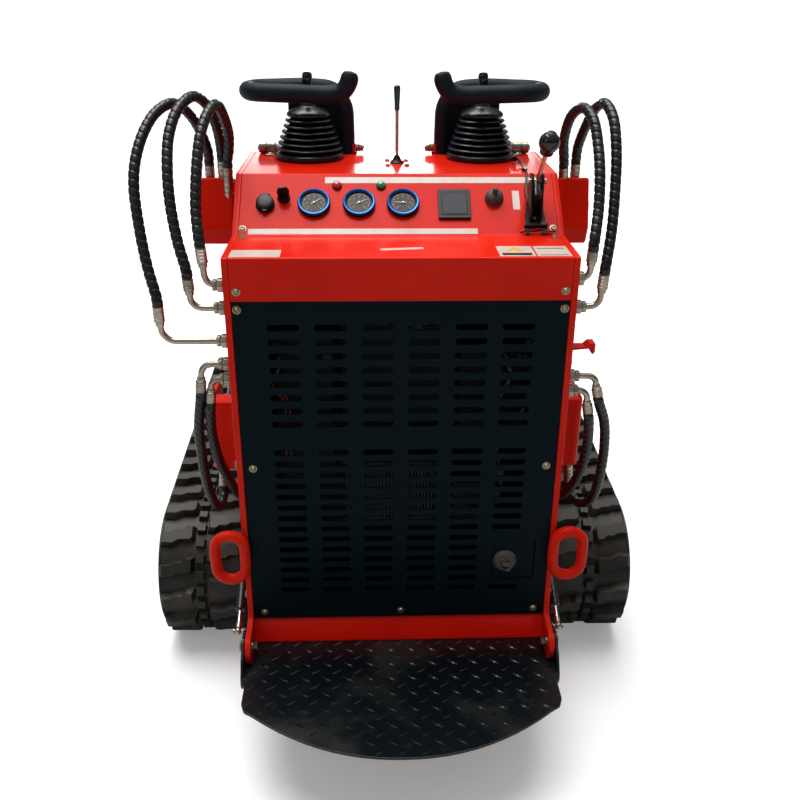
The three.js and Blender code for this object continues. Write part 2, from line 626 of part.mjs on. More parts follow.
function sprocket(sign) {
  const rim = SPROCKET.r - INNER;
  const teeth = 13;
  const outline = [];
  for (let i = 0; i < teeth; i++) {
    for (const [share, radius] of [[0, rim - 16], [0.3, rim - 16], [0.45, rim], [0.85, rim]]) {
      const angle = (2 * Math.PI * (i + share)) / teeth;
      outline.push([radius * Math.cos(angle), radius * Math.sin(angle)]);
    }
  }
  return join(
    prismX(outline, -20, 20),
    axleX(-45, 45, [0, 0], 70, 20),
    axleX(-sign * (TRACK_MID - HALF - GAP), 0, [0, 0], 82, 24),
  );
}

for (const [side, sign] of SIDES) {
  add(`${side}_track`, track(sign), RUBBER);
  add(`${side}_track_frame`, trackFrame(sign), BLACK);
  add(`${side}_idler`, idler(), BLACK, { at: [sign * TRACK_MID, IDLER.y, IDLER.z] });
  add(`${side}_drive_sprocket`, sprocket(sign), BLACK, { at: [sign * TRACK_MID, SPROCKET.y, SPROCKET.z] });
}

// ---------------------------------------------------------------- loader arms
const BOOM_OUTSIDE = BOOM_INSIDE + BOOM_WIDTH;
const LIFT_PLANE = (HALF + HOUSING_OUT) / 2;
const EAR = 7;
const BOOM_TAIL = 85;                    // the arm's length behind its pivot
const BOOM_HALF_DEPTHS = [62, 56, 44];   // at its tail, elbow and foot

function boomArm(side, sign) {
  const [py, pz] = BOOM_PIVOT;
  const [ey, ez] = BOOM_ELBOW;
  const slope = Math.atan2(ez - pz, ey - py);
  const rear = [py - BOOM_TAIL, pz - BOOM_TAIL * Math.tan(slope)];
  const outline = barOutline([rear, BOOM_ELBOW, BOOM_FOOT], BOOM_HALF_DEPTHS);
  const arm = prismX(outline.reverse(), sign * BOOM_INSIDE, sign * BOOM_OUTSIDE);
  const hub = axleX(sign * (BOOM_INSIDE - 5), sign * (BOOM_OUTSIDE + 8), BOOM_PIVOT, 38);
  const foot = axleX(sign * (BOOM_INSIDE - 4), sign * (BOOM_OUTSIDE + 6), BOOM_FOOT, 46);
  const [ly, lz] = LIFT_EYE;
  const lug = [
    [ly - 60, lz + 75], [ly - 42, lz - 10], ...arc([ly, lz], 42, 200, 340), [ly + 42, lz + 20],
    [ly + 60, lz + 60],
  ];
  const ears = [[BOOM_INSIDE, BOOM_INSIDE + EAR], [BOOM_OUTSIDE - EAR, BOOM_OUTSIDE]].map(([a, b]) =>
    prismX(lug, sign * a, sign * b));
  const caps = [[BOOM_INSIDE - 4, BOOM_INSIDE + 2], [BOOM_OUTSIDE - 2, BOOM_OUTSIDE + 6]].map(([a, b]) =>
    axleX(sign * a, sign * b, LIFT_EYE, 20));
  return join(arm, hub, foot, ...ears, ...caps, ...fittings(side, sign, true));
}

function boomCrossTube() {
  const centre = [BOOM_ELBOW[0] - 10, BOOM_ELBOW[1] - 30];
  const [ty, tz] = TILT_BASE;
  const lug = [
    [centre[0] - 40, centre[1]], [ty - 34, tz + 6], ...arc([ty, tz], 34, 180, 330), [ty + 40, tz + 40],
    [centre[0] + 38, centre[1]],
  ];
  const ears = [[-40, -32], [32, 40]].map(([a, b]) => prismX(lug, a, b));
  return join(axleX(GAP - BOOM_INSIDE, BOOM_INSIDE - GAP, centre, 44, 24), ...ears,
    axleX(-46, -38, TILT_BASE, 18), axleX(38, 46, TILT_BASE, 18));
}

for (const [side, sign] of SIDES) add(`${side}_boom_arm`, boomArm(side, sign), RED);
add("boom_cross_tube", boomCrossTube(), RED);

// ---------------------------------------------------------------- hydraulic cylinders and gas springs
// A cylinder lies along +Y in its own group, with its base eye at the group's origin. The rod
// reaches `engaged` into a bore of depth `bore`, which leaves it room where the joint shortens it.
function cylinder(name, base, eye, x, size) {
  const length = Math.hypot(eye[0] - base[0], eye[1] - base[1]);
  const group = new THREE.Group();
  group.position.set(x, ...base);
  group.rotation.x = Math.atan2(eye[1] - base[1], eye[0] - base[0]);
  machine.add(group);
  const { barrel, rodRadius, eyeRadius, baseWidth, eyeWidth, body, bore, engaged } = size;
  const eyeOverlap = eyeRadius * 0.6;
  add(`${name}_barrel`, join(
    cut(
      rod([0, eyeOverlap, 0], [0, body, 0], barrel, 20),
      rod([0, body - bore, 0], [0, body + 1, 0], rodRadius + GAP, 16),
    ),
    axleX(-baseWidth / 2, baseWidth / 2, [0, 0], eyeRadius, 16),
  ), BLACK, { in: group });
  add(`${name}_rod`, join(
    rod([0, body - engaged, 0], [0, length - eyeOverlap, 0], rodRadius, 16),
    axleX(-eyeWidth / 2, eyeWidth / 2, [length, 0], eyeRadius, 16),
  ), STEEL, { in: group });
}

for (const [side, sign] of SIDES) {
  cylinder(`${side}_lift_cylinder`, LIFT_BASE, LIFT_EYE, sign * LIFT_PLANE, {
    barrel: 29, rodRadius: 16, eyeRadius: 30, baseWidth: 62, eyeWidth: 36,
    body: 560, bore: 420, engaged: 418,
  });
  cylinder(`${side}_gas_spring`, SPRING_BASE, SPRING_STUD, sign * SPRING_PLANE, {
    barrel: 9, rodRadius: 4, eyeRadius: 7, baseWidth: 10, eyeWidth: 8,
    body: 190, bore: 120, engaged: 118,
  });
}
const TILT_EYE = [BOOM_FOOT[0], BOOM_FOOT[1] + TILT_LEVER];
cylinder("tilt_cylinder", TILT_BASE, TILT_EYE, 0, {
  barrel: 30, rodRadius: 16, eyeRadius: 24, baseWidth: 60, eyeWidth: 44,
  body: 330, bore: 300, engaged: 248,
});

// ---------------------------------------------------------------- tool carrier and bucket
const CARRIER_BACK = BOOM_FOOT[0] + BOOM_HALF_DEPTHS[2] + 1;
const CARRIER_HALF = BOOM_INSIDE - 10;
function toolCarrier() {
  const [fy, fz] = BOOM_FOOT;
  const plate = box(-CARRIER_HALF, CARRIER_HALF, CARRIER_BACK, CARRIER_BACK + 10, fz - 90, fz + 200);
  const ear = [...arc([fy, fz], 34, 90, 270, 8), [CARRIER_BACK + 2, fz - 60], [CARRIER_BACK + 2, fz + 120]];
  const ears = [-1, 1].map((sign) =>
    prismX(ear.slice().reverse(), sign * (CARRIER_HALF - 14), sign * CARRIER_HALF));
  const lug = [...arc(TILT_EYE, 30, 60, 270, 8), [CARRIER_BACK + 2, fz + 60], [CARRIER_BACK + 2, fz + 185]];
  const lugs = [[-32, -24], [24, 32]].map(([a, b]) => prismX(lug, a, b));
  const shaft = axleX(-CARRIER_HALF, CARRIER_HALF, BOOM_FOOT, 22, 18);
  return join(plate, ...ears, ...lugs, shaft, axleX(-38, -30, TILT_EYE, 15), axleX(30, 38, TILT_EYE, 15));
}
add("tool_carrier", toolCarrier(), BLACK);

const BUCKET_HALF = TRACK_INSIDE + SHOE_WIDTH + 5;
const BUCKET_BACK = CARRIER_BACK + 10 + GAP;
function bucket() {
  const back = BUCKET_BACK;
  const lip = back + BUCKET_DEPTH;
  const outer = [
    [back, BUCKET_HEIGHT], [back, 90], ...arc([back + 90, 90], 90, 180, 270, 6), [lip, 0], [lip, BUCKET_WALL],
    ...arc([back + 90, 90], 90 - BUCKET_WALL, 270, 180, 6), [back + BUCKET_WALL, BUCKET_HEIGHT],
  ];
  const side = [
    [back + 1, BUCKET_HEIGHT], [back + 1, 90], ...arc([back + 90, 90], 89, 180, 270, 6), [lip - 30, 1],
    [lip - 160, 220], [back + 60, BUCKET_HEIGHT],
  ];
  return join(prismX(outer, -BUCKET_HALF, BUCKET_HALF),
    ...[-1, 1].map((sign) => prismX(side, sign * (BUCKET_HALF - BUCKET_WALL), sign * BUCKET_HALF)));
}
add("bucket", bucket(), BLACK);

// ---------------------------------------------------------------- standing platform
function platform() {
  const lobeRear = PLATFORM_PIVOT[0] - 36 - 8;
  const wide = HALF + 2;
  const between = HALF - 27;              // half width of the deck between the plates' lobes
  const corner = HALF - 17;
  const rim = [];
  for (let i = 0; i <= 12; i++) {
    const x = between * (i / 6 - 1);
    rim.push([x, -PLATFORM_REACH + (PLATFORM_REACH - 236) * (x / between) ** 2]);
  }
  const deck = [
    [between, -8], [-between, -8], [-between, lobeRear], [-wide - 3, lobeRear], [-wide - 3, -182],
    [-corner, -190], ...rim, [corner, -190], [wide + 3, -182], [wide + 3, lobeRear], [between, lobeRear],
  ];
  const [py, pz] = PLATFORM_PIVOT;
  const [sy, sz] = SPRING_STUD;
  const ear = [
    ...arc([py, pz], 30, 60, 150, 4), [py - 60, pz - 14], [-180, PLATFORM_TOP - 2],
    [-182, PLATFORM_TOP - PLATFORM_THICK], [lobeRear - 2, PLATFORM_TOP - PLATFORM_THICK], [py + 10, pz - 34],
    ...arc([sy, sz], 14, 250, 430, 6),
  ];
  const ears = [-1, 1].map((sign) => prismX(ear, sign * wide, sign * (wide + 5.5)));
  const bolts = [-1, 1].map((sign) => axleX(sign * (wide + 5), sign * (wide + 10), PLATFORM_PIVOT, 10, 6));
  return join(prismZ(deck, PLATFORM_TOP - PLATFORM_THICK, PLATFORM_TOP), ...ears, ...bolts);
}
add("standing_platform", platform(), BLACK);

// ---------------------------------------------------------------- origin under the middle of the box
const bounds = new THREE.Box3().setFromObject(machine);
machine.position.y = -(bounds.min.y + bounds.max.y) / 2;

export default machine;
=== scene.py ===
"""Finishes, hoses and fine pieces of a mini track loader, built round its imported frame.

Pieces are drawn in millimetres in the machine's own layout: X to the right, Y forwards from the
rear edge of its body, Z up from the ground. Each is put into the frame, in metres, when it is done.
"""
import json
from math import asin, atan2, ceil, cos, hypot, pi, radians, sin, sqrt, tan

import bmesh
import bpy
from mathutils import Matrix, Vector


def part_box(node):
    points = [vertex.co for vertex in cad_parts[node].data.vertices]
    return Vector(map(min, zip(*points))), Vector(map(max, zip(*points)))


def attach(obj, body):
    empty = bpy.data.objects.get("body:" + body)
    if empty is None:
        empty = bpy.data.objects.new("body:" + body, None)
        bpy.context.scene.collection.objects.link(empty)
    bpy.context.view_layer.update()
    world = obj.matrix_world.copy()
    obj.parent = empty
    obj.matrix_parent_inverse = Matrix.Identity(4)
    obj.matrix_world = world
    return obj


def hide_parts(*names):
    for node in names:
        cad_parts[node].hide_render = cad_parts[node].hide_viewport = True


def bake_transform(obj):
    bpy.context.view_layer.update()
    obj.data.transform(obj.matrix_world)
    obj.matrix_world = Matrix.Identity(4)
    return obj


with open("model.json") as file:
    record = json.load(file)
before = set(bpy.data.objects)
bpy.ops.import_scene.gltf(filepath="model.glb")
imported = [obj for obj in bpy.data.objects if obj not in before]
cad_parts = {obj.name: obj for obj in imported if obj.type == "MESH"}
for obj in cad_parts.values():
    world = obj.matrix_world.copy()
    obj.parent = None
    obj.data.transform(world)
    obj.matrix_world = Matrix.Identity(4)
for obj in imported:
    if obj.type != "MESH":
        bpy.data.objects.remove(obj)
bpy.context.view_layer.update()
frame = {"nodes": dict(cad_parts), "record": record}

# ------------------------------------------------------------------ the machine's layout, from the frame
MM = 0.001
REAR_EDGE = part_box("console_housing")[0].y
LAYOUT = Matrix.Translation((0, REAR_EDGE, 0)) @ Matrix.Scale(MM, 4)
TO_LAYOUT = LAYOUT.inverted()


def span(node):
    """Lowest and highest corner of a frame node, in the layout's millimetres."""
    low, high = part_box(node)
    return TO_LAYOUT @ low, TO_LAYOUT @ high


PLATE_LOW, PLATE_HIGH = span("right_side_plate")
CONSOLE_LOW, CONSOLE_HIGH = span("console_housing")
GRILLE_LOW, GRILLE_HIGH = span("rear_grille")
CROSSBAR_LOW, CROSSBAR_HIGH = span("rear_crossbar")
BUCKET_LOW, BUCKET_HIGH = span("bucket")
TRACK_LOW, TRACK_HIGH = span("right_track")
BULKHEAD_LOW, BULKHEAD_HIGH = span("front_bulkhead")

SIDES = (("left", -1), ("right", 1))
GAP = 0.3
SHEET = 4
PLATE = 12
INSIDE = CONSOLE_HIGH.x
HALF = PLATE_LOW.x + PLATE
BODY_BOTTOM = PLATE_LOW.z
BODY_FRONT = BULKHEAD_HIGH.y
CONSOLE_HEIGHT = CONSOLE_HIGH.z
CONSOLE_BACK = CONSOLE_HIGH.y
APRON = 82
LEDGE_HEIGHT = CONSOLE_LOW.z + APRON
LEDGE_DEPTH = 153
PANEL_DEPTH = 115
HOOD_SILL = span("engine_hood")[0].z
PANEL_ANGLE = atan2(CONSOLE_HEIGHT - LEDGE_HEIGHT, PANEL_DEPTH)
PANEL = Matrix.Translation((0, LEDGE_DEPTH, LEDGE_HEIGHT)) @ Matrix.Rotation(PANEL_ANGLE, 4, "X")

BOOM_PIVOT = (400, 1060)
BOOM_ELBOW = (1235, 870)
BOOM_FOOT = (1575, 200)
BOOM_INSIDE = 342
BOOM_OUTSIDE = 412
LIFT_BASE = (300, 600)
LIFT_EYE = (1000, 820)
LIFT_PLANE = 367.5
TILT_BASE = (1185, 640)
TILT_EYE = (BOOM_FOOT[0], BOOM_FOOT[1] + 130)
HOUSING_OUT = PLATE_HIGH.x
PLATFORM_PIVOT = (-48, 230)
SPRING_BASE = (255, 348)
SPRING_STUD = (7, 226)
SPRING_PLANE = 350
HOOD_HINGE = (506, CONSOLE_HEIGHT + 13.5)

# ------------------------------------------------------------------ camera, floor and light
CAMERA_PLACE = (-60.2, -1582.3, 1510.1)
CAMERA_YAW = radians(2.109)
CAMERA_PITCH = radians(24.77)
CAMERA_ROLL = radians(0.406)
CAMERA_LENS = 40.75


def make_camera():
    camera = bpy.data.objects.new("camera", bpy.data.cameras.new("camera"))
    bpy.context.scene.collection.objects.link(camera)
    camera.data.lens = CAMERA_LENS
    camera.data.clip_start = 0.05
    camera.data.clip_end = 200
    yaw, pitch, roll = CAMERA_YAW, CAMERA_PITCH, CAMERA_ROLL
    ahead = Vector((sin(yaw) * cos(pitch), cos(yaw) * cos(pitch), -sin(pitch)))
    right = Vector((cos(yaw), -sin(yaw), 0))
    up = right.cross(ahead)
    rolled_right = cos(roll) * right + sin(roll) * up
    rolled_up = cos(roll) * up - sin(roll) * right
    turn = Matrix((rolled_right, rolled_up, -ahead)).transposed().to_4x4()
    camera.matrix_world = Matrix.Translation(LAYOUT @ Vector(CAMERA_PLACE)) @ turn
    bpy.context.scene.camera = camera


def softbox(name, place, aim, size, watts, colour=(1, 1, 1)):
    light = bpy.data.lights.new(name, "AREA")
    light.shape = "RECTANGLE"
    light.size, light.size_y = size
    light.energy = watts
    light.color = colour
    lamp = bpy.data.objects.new(name, light)
    bpy.context.scene.collection.objects.link(lamp)
    lamp.location = place
    lamp.visible_camera = False
    lamp.rotation_euler = (Vector(aim) - Vector(place)).to_track_quat("-Z", "Y").to_euler()


# ------------------------------------------------------------------ node trees written as expressions
class Wire:
    """A node's output. Sums on it add Math nodes, in a shader's tree or a geometry tree."""

    def __init__(self, maker, socket):
        self.maker = maker
        self.socket = socket

    def math(self, operation, *values):
        return self.maker.node("ShaderNodeMath", {"operation": operation}, dict(enumerate(values)))

    def __add__(self, other):
        return self.math("ADD", self, other)

    def __sub__(self, other):
        return self.math("SUBTRACT", self, other)

    def __rsub__(self, other):
        return self.math("SUBTRACT", other, self)

    def __mul__(self, other):
        return self.math("MULTIPLY", self, other)

    def __truediv__(self, other):
        return self.math("DIVIDE", self, other)

    def __gt__(self, other):
        return self.math("GREATER_THAN", self, other)

    def __lt__(self, other):
        return self.math("LESS_THAN", self, other)

    def __mod__(self, other):
        return self.math("FLOORED_MODULO", self, other)

    __radd__ = __add__
    __rmul__ = __mul__

    def least(self, other):
        return self.math("MINIMUM", self, other)

    def size(self):
        return self.math("ABSOLUTE", self)

    def ease(self, low, high):
        """0 below low, 1 above high, smooth between."""
        return self.maker.node("ShaderNodeMapRange", {"interpolation_type": "SMOOTHSTEP"},
                               {"Value": self, "From Min": low, "From Max": high}, out="Result")


class NodeMaker:
    """Adds nodes to one tree."""

    def __init__(self, tree):
        self.tree = tree

    def node(self, kind, settings=None, values=None, out=0):
        made = self.tree.nodes.new(kind)
        for key, value in (settings or {}).items():
            setattr(made, key, value)
        for key, value in (values or {}).items():
            self.feed(made.inputs[key], value)
        return Wire(self, made.outputs[out]) if made.outputs else made

    def feed(self, socket, value):
        if isinstance(value, Wire):
            self.tree.links.new(value.socket, socket)
        elif isinstance(value, (list, tuple)) and value and isinstance(value[0], Wire):
            for each in value:
                self.tree.links.new(each.socket, socket)
        else:
            socket.default_value = value


class Finish(NodeMaker):
    """A material: one Principled shader, with what changes over the surface worked out by nodes."""

    def __init__(self, name):
        self.material = bpy.data.materials.new(name)
        self.material.use_nodes = True
        super().__init__(self.material.node_tree)
        self.tree.nodes.clear()
        self.place = self.node("ShaderNodeTexCoord", out="Object")

    def noise(self, scale, detail=3.0, stretch=None, roughness=0.55):
        place = self.place
        if stretch:
            place = self.node("ShaderNodeMapping", None, {"Vector": place, "Scale": stretch})
        return self.node("ShaderNodeTexNoise", None, {"Vector": place, "Scale": scale, "Detail": detail,
                                                      "Roughness": roughness}, out="Fac")

    def cells(self, scale, feature="F1"):
        return self.node("ShaderNodeTexVoronoi", {"feature": feature},
                         {"Vector": self.place, "Scale": scale}, out="Distance")

    def height(self):
        return self.node("ShaderNodeSeparateXYZ", None, {"Vector": self.place}, out="Z")

    def facing_up(self):
        normal = self.node("ShaderNodeNewGeometry", out="Normal")
        return self.node("ShaderNodeSeparateXYZ", None, {"Vector": normal}, out="Z")

    def blend(self, share, first, second):
        values = {0: share}
        for socket, colour in ((6, first), (7, second)):
            values[socket] = colour if isinstance(colour, Wire) else (*colour, 1)
        return self.node("ShaderNodeMix", {"data_type": "RGBA"}, values, out=2)

    def bump(self, height, distance, strength=1.0, under=None):
        values = {"Height": height, "Distance": distance, "Strength": strength}
        if under is not None:
            values["Normal"] = under
        return self.node("ShaderNodeBump", None, values)

    def finish(self, colour, roughness, metallic=0.0, normal=None, **constant):
        values = {"Base Color": colour if isinstance(colour, Wire) else (*colour, 1),
                  "Roughness": roughness, "Metallic": metallic}
        if normal is not None:
            values["Normal"] = normal
        for key, value in constant.items():
            values[key.replace("_", " ").title().replace("Ior", "IOR")] = value
        shader = self.node("ShaderNodeBsdfPrincipled", None, values)
        self.node("ShaderNodeOutputMaterial", None, {"Surface": shader})
        return self.material


class Recipe(NodeMaker):
    """A geometry tree with named inputs, which makes a shape and gives it one finish."""

    KINDS = {"float": "NodeSocketFloat", "int": "NodeSocketInt", "object": "NodeSocketObject",
             "material": "NodeSocketMaterial"}

    def __init__(self, name, **inputs):
        super().__init__(bpy.data.node_groups.new(name, "GeometryNodeTree"))
        face = self.tree.interface
        face.new_socket("Geometry", in_out="INPUT", socket_type="NodeSocketGeometry")
        face.new_socket("Geometry", in_out="OUTPUT", socket_type="NodeSocketGeometry")
        self.identifiers = {}
        for key, kind in {**inputs, "finish": "material"}.items():
            socket = face.new_socket(key, in_out="INPUT", socket_type=self.KINDS[kind])
            self.identifiers[key] = socket.identifier
        self.entry = self.tree.nodes.new("NodeGroupInput")
        self.shape = self.input("Geometry")

    def input(self, name):
        return Wire(self, self.entry.outputs[name])

    def attribute(self, name, kind="FLOAT"):
        return self.node("GeometryNodeInputNamedAttribute", {"data_type": kind}, {"Name": name})

    def vector(self, operation, *values, out=0):
        return self.node("ShaderNodeVectorMath", {"operation": operation}, dict(enumerate(values)), out)

    def store(self, shape, name, value, kind="FLOAT"):
        return self.node("GeometryNodeStoreNamedAttribute", {"data_type": kind, "domain": "POINT"},
                         {"Geometry": shape, "Name": name, "Value": value})

    def close(self, shape):
        whole = self.node("GeometryNodeRealizeInstances", None, {"Geometry": shape})
        done = self.node("GeometryNodeSetMaterial", None,
                         {"Geometry": whole, "Material": self.input("finish")})
        exit_node = self.tree.nodes.new("NodeGroupOutput")
        self.tree.links.new(done.socket, exit_node.inputs[0])
        return self

    def make(self, name, start, **values):
        """Runs the tree on a mesh drawn in the layout, and returns the result as a plain object."""
        holder = bpy.data.objects.new(name + "_start", start)
        bpy.context.scene.collection.objects.link(holder)
        modifier = holder.modifiers.new("recipe", "NODES")
        modifier.node_group = self.tree
        for key, value in values.items():
            modifier[self.identifiers[key]] = value
        depsgraph = bpy.context.evaluated_depsgraph_get()
        mesh = bpy.data.meshes.new_from_object(holder.evaluated_get(depsgraph),
                                               preserve_all_data_layers=True, depsgraph=depsgraph)
        bpy.data.objects.remove(holder)
        mesh.name = name
        mesh.transform(LAYOUT)
        mesh.shade_smooth()
        mesh.set_sharp_from_angle(angle=radians(38))
        made = bpy.data.objects.new(name, mesh)
        bpy.context.scene.collection.objects.link(made)
        return made


# ------------------------------------------------------------------ forms, drawn in millimetres
def arc(centre, radius, start, end, count=6):
    """Points of an arc, in degrees, in the outline's plane."""
    angles = [radians(start + (end - start) * i / count) for i in range(count + 1)]
    return [(centre[0] + radius * cos(a), centre[1] + radius * sin(a)) for a in angles]


def rounded(points, radius, count=4, closed=True):
    """An outline with its corners rounded. The radius is one number, or one for each corner."""
    total = len(points)
    radii = radius if isinstance(radius, (list, tuple)) else [radius] * total
    result = []
    for i, point in enumerate(points):
        if radii[i] <= 0 or (not closed and i in (0, total - 1)):
            result.append(tuple(point))
            continue
        here = Vector(point)
        before = Vector(points[i - 1]) - here
        after = Vector(points[(i + 1) % total]) - here
        half = before.angle(after) / 2
        reach = min(radii[i] / tan(half), 0.49 * before.length, 0.49 * after.length)
        start, end = here + before.normalized() * reach, here + after.normalized() * reach
        for k in range(count + 1):
            t = k / count
            bend = start * (1 - t) ** 2 + here * 2 * t * (1 - t) + end * t ** 2
            result.append(tuple(bend))
    return result


def smooth_path(points, count, closed=False):
    """Centripetal curve through the points, with its stations evenly spaced along it."""
    knots = [Vector(p) for p in points]
    if closed:
        ring = [knots[-1], *knots, knots[0], knots[1]]
    else:
        ring = [knots[0] * 2 - knots[1], *knots, knots[-1] * 2 - knots[-2]]
    fine = []
    for a, b, c, d in zip(ring, ring[1:], ring[2:], ring[3:]):
        t1 = max((b - a).length, 1e-6) ** 0.5
        t2 = t1 + max((c - b).length, 1e-6) ** 0.5
        t3 = t2 + max((d - c).length, 1e-6) ** 0.5
        for k in range(16):
            t = t1 + (t2 - t1) * k / 16
            ab, bc, cd = a.lerp(b, t / t1), b.lerp(c, (t - t1) / (t2 - t1)), c.lerp(d, (t - t2) / (t3 - t2))
            fine.append(ab.lerp(bc, t / t2).lerp(bc.lerp(cd, (t - t1) / (t3 - t1)), (t - t1) / (t2 - t1)))
    fine.append(ring[-2])
    steps = [0.0]
    for a, b in zip(fine, fine[1:]):
        steps.append(steps[-1] + (b - a).length)
    even = []
    stations = count if closed else count - 1
    k = 0
    for i in range(count):
        want = steps[-1] * i / stations
        while k < len(steps) - 2 and steps[k + 1] < want:
            k += 1
        share = (want - steps[k]) / max(steps[k + 1] - steps[k], 1e-9)
        even.append(fine[k].lerp(fine[k + 1], min(max(share, 0), 1)))
    return even


def path_length(points):
    return sum((b - a).length for a, b in zip(points, points[1:]))


def turn_to(direction, origin=(0, 0, 0)):
    """Places a form drawn along Z at the origin, along the direction."""
    return Matrix.Translation(origin) @ Vector(direction).to_track_quat("Z", "Y").to_matrix().to_4x4()


def moved(x, y, z):
    return Matrix.Translation((x, y, z))


def spun(degrees, axis="Z"):
    return Matrix.Rotation(radians(degrees), 4, axis)


def outboard(sign, x, y, z):
    """Places a form drawn along Z on one side of the machine, facing away from its middle."""
    return turn_to((sign, 0, 0), (sign * x, y, z))


def inboard(sign, x, y, z):
    return turn_to((-sign, 0, 0), (sign * x, y, z))


def turned(profile, segments=32):
    """A lathe form about Z from (radius, height) pairs. Ends that stop short of the axis are closed flat."""
    if profile[0][0]:
        profile = [(0, profile[0][1]), *profile]
    if profile[-1][0]:
        profile = [*profile, (0, profile[-1][1])]
    form = bmesh.new()
    rings = []
    for radius, height in profile:
        if radius < 1e-6:
            rings.append([form.verts.new((0, 0, height))])
        else:
            rings.append([form.verts.new((radius * cos(2 * pi * i / segments),
                                          radius * sin(2 * pi * i / segments), height))
                          for i in range(segments)])
    for low, high in zip(rings, rings[1:]):
        for i in range(segments):
            j = (i + 1) % segments
            corners = [low[i % len(low)], low[j % len(low)], high[j % len(high)], high[i % len(high)]]
            corners = list(dict.fromkeys(corners))
            if len(corners) > 2:
                form.faces.new(corners)
    return form


def swept(points, radius, sides=12, closed=False, flat=1.0):
    """A bar along a path. The radius is a number, or a function of the share of the way along."""
    path = [Vector(p) for p in points]
    total = len(path)
    tangents = []
    for i in range(total):
        before = path[i - 1] if closed or i else path[i]
        after = path[(i + 1) % total] if closed or i < total - 1 else path[i]
        tangents.append((after - before).normalized())
    side = tangents[0].orthogonal().normalized()
    if abs(tangents[0].x) < 0.9:
        side = (Vector((1, 0, 0)) - tangents[0] * tangents[0].x).normalized()
    form = bmesh.new()
    rings = []
    for i, (place, tangent) in enumerate(zip(path, tangents)):
        side = (side - tangent * side.dot(tangent)).normalized()
        other = tangent.cross(side)
        size = radius(i / (total - 1)) if callable(radius) else radius
        rings.append([form.verts.new(
            place + side * size * cos(2 * pi * k / sides)
            + other * size * flat * sin(2 * pi * k / sides)) for k in range(sides)])
    pairs = list(zip(rings, rings[1:])) + ([(rings[-1], rings[0])] if closed else [])
    for low, high in pairs:
        for k in range(sides):
            form.faces.new((low[k], low[(k + 1) % sides], high[(k + 1) % sides], high[k]))
    if not closed:
        form.faces.new(rings[0][::-1])
        form.faces.new(rings[-1])
    return form


def prism(outline, low, high, axis="X"):
    """An outline in the plane square to the axis, given a thickness along it."""
    place = {"X": lambda a, b, c: (c, a, b), "Y": lambda a, b, c: (a, c, b), "Z": lambda a, b, c: (a, b, c)}
    form = bmesh.new()
    ends = [[form.verts.new(place[axis](a, b, c)) for a, b in outline] for c in sorted((low, high))]
    form.faces.new(ends[0][::-1])
    form.faces.new(ends[1])
    total = len(outline)
    for i in range(total):
        j = (i + 1) % total
        form.faces.new((ends[0][i], ends[0][j], ends[1][j], ends[1][i]))
    bmesh.ops.recalc_face_normals(form, faces=form.faces)
    return form


def rectangle(x0, x1, y0, y1):
    return [(x0, y0), (x1, y0), (x1, y1), (x0, y1)]


def block(x0, x1, y0, y1, z0, z1):
    return prism(rectangle(*sorted((x0, x1)), y0, y1), z0, z1, "Z")


def bevelled(form, width, segments=2, angle=25):
    """The form with its sharp edges rounded off."""
    sharp = [edge for edge in form.edges if len(edge.link_faces) == 2
             and edge.calc_face_angle(0) > radians(angle)]
    bmesh.ops.bevel(form, geom=sharp, offset=width, offset_type="OFFSET", segments=segments, profile=0.5,
                    affect="EDGES", clamp_overlap=True)
    return form


def around(count, radius, centre=(0, 0), start=0):
    """Points spaced evenly round a circle, in the outline's plane."""
    angles = [radians(start + 360 * i / count) for i in range(count)]
    return [(centre[0] + radius * cos(a), centre[1] + radius * sin(a)) for a in angles]


def hexagon(radius):
    return around(6, radius)


class Piece:
    """A mesh gathered from forms, each with its own finish, that rides on one body."""

    def __init__(self, name):
        self.name = name
        self.mesh = bpy.data.meshes.new(name)
        self.gathered = bmesh.new()

    def add(self, form, finish, place=None):
        if finish.name not in self.mesh.materials:
            self.mesh.materials.append(finish)
        index = self.mesh.materials.find(finish.name)
        form.transform(place or Matrix.Identity(4))
        bmesh.ops.recalc_face_normals(form, faces=form.faces)
        for face in form.faces:
            face.material_index = index
            face.smooth = True
        part = bpy.data.meshes.new("form")
        form.to_mesh(part)
        form.free()
        self.gathered.from_mesh(part)
        bpy.data.meshes.remove(part)
        return self

    def plate(self, outline, low, high, axis, finish, ease=1, steps=1, place=None):
        """Adds an outline with a thickness and eased edges."""
        return self.add(bevelled(prism(outline, low, high, axis), ease, steps, 60), finish, place)

    def bar(self, x0, x1, y0, y1, z0, z1, finish, ease=1, steps=1, place=None):
        return self.add(bevelled(block(x0, x1, y0, y1, z0, z1), ease, steps), finish, place)

    def lathe(self, profile, segments, finish, place=None):
        return self.add(turned(profile, segments), finish, place)

    def nut(self, radius, low, high, ease, finish, place=None):
        return self.add(bevelled(prism(hexagon(radius), low, high, "Z"), ease, 1, 50), finish, place)

    def done(self, body=None, replaces=(), slot=None, sharp=38):
        self.gathered.to_mesh(self.mesh)
        self.gathered.free()
        self.mesh.transform(LAYOUT)
        self.mesh.set_sharp_from_angle(angle=radians(sharp))
        made = bpy.data.objects.new(self.name, self.mesh)
        bpy.context.scene.collection.objects.link(made)
        weighted = made.modifiers.new("even_shading", "WEIGHTED_NORMAL")
        weighted.keep_sharp = True
        return settle(made, body, replaces)


def settle(made, body=None, replaces=()):
    """Puts a piece on its body and hides the frame parts that it stands for."""
    if body:
        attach(made, body)
    if replaces:
        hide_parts(*([replaces] if isinstance(replaces, str) else replaces))
    return made


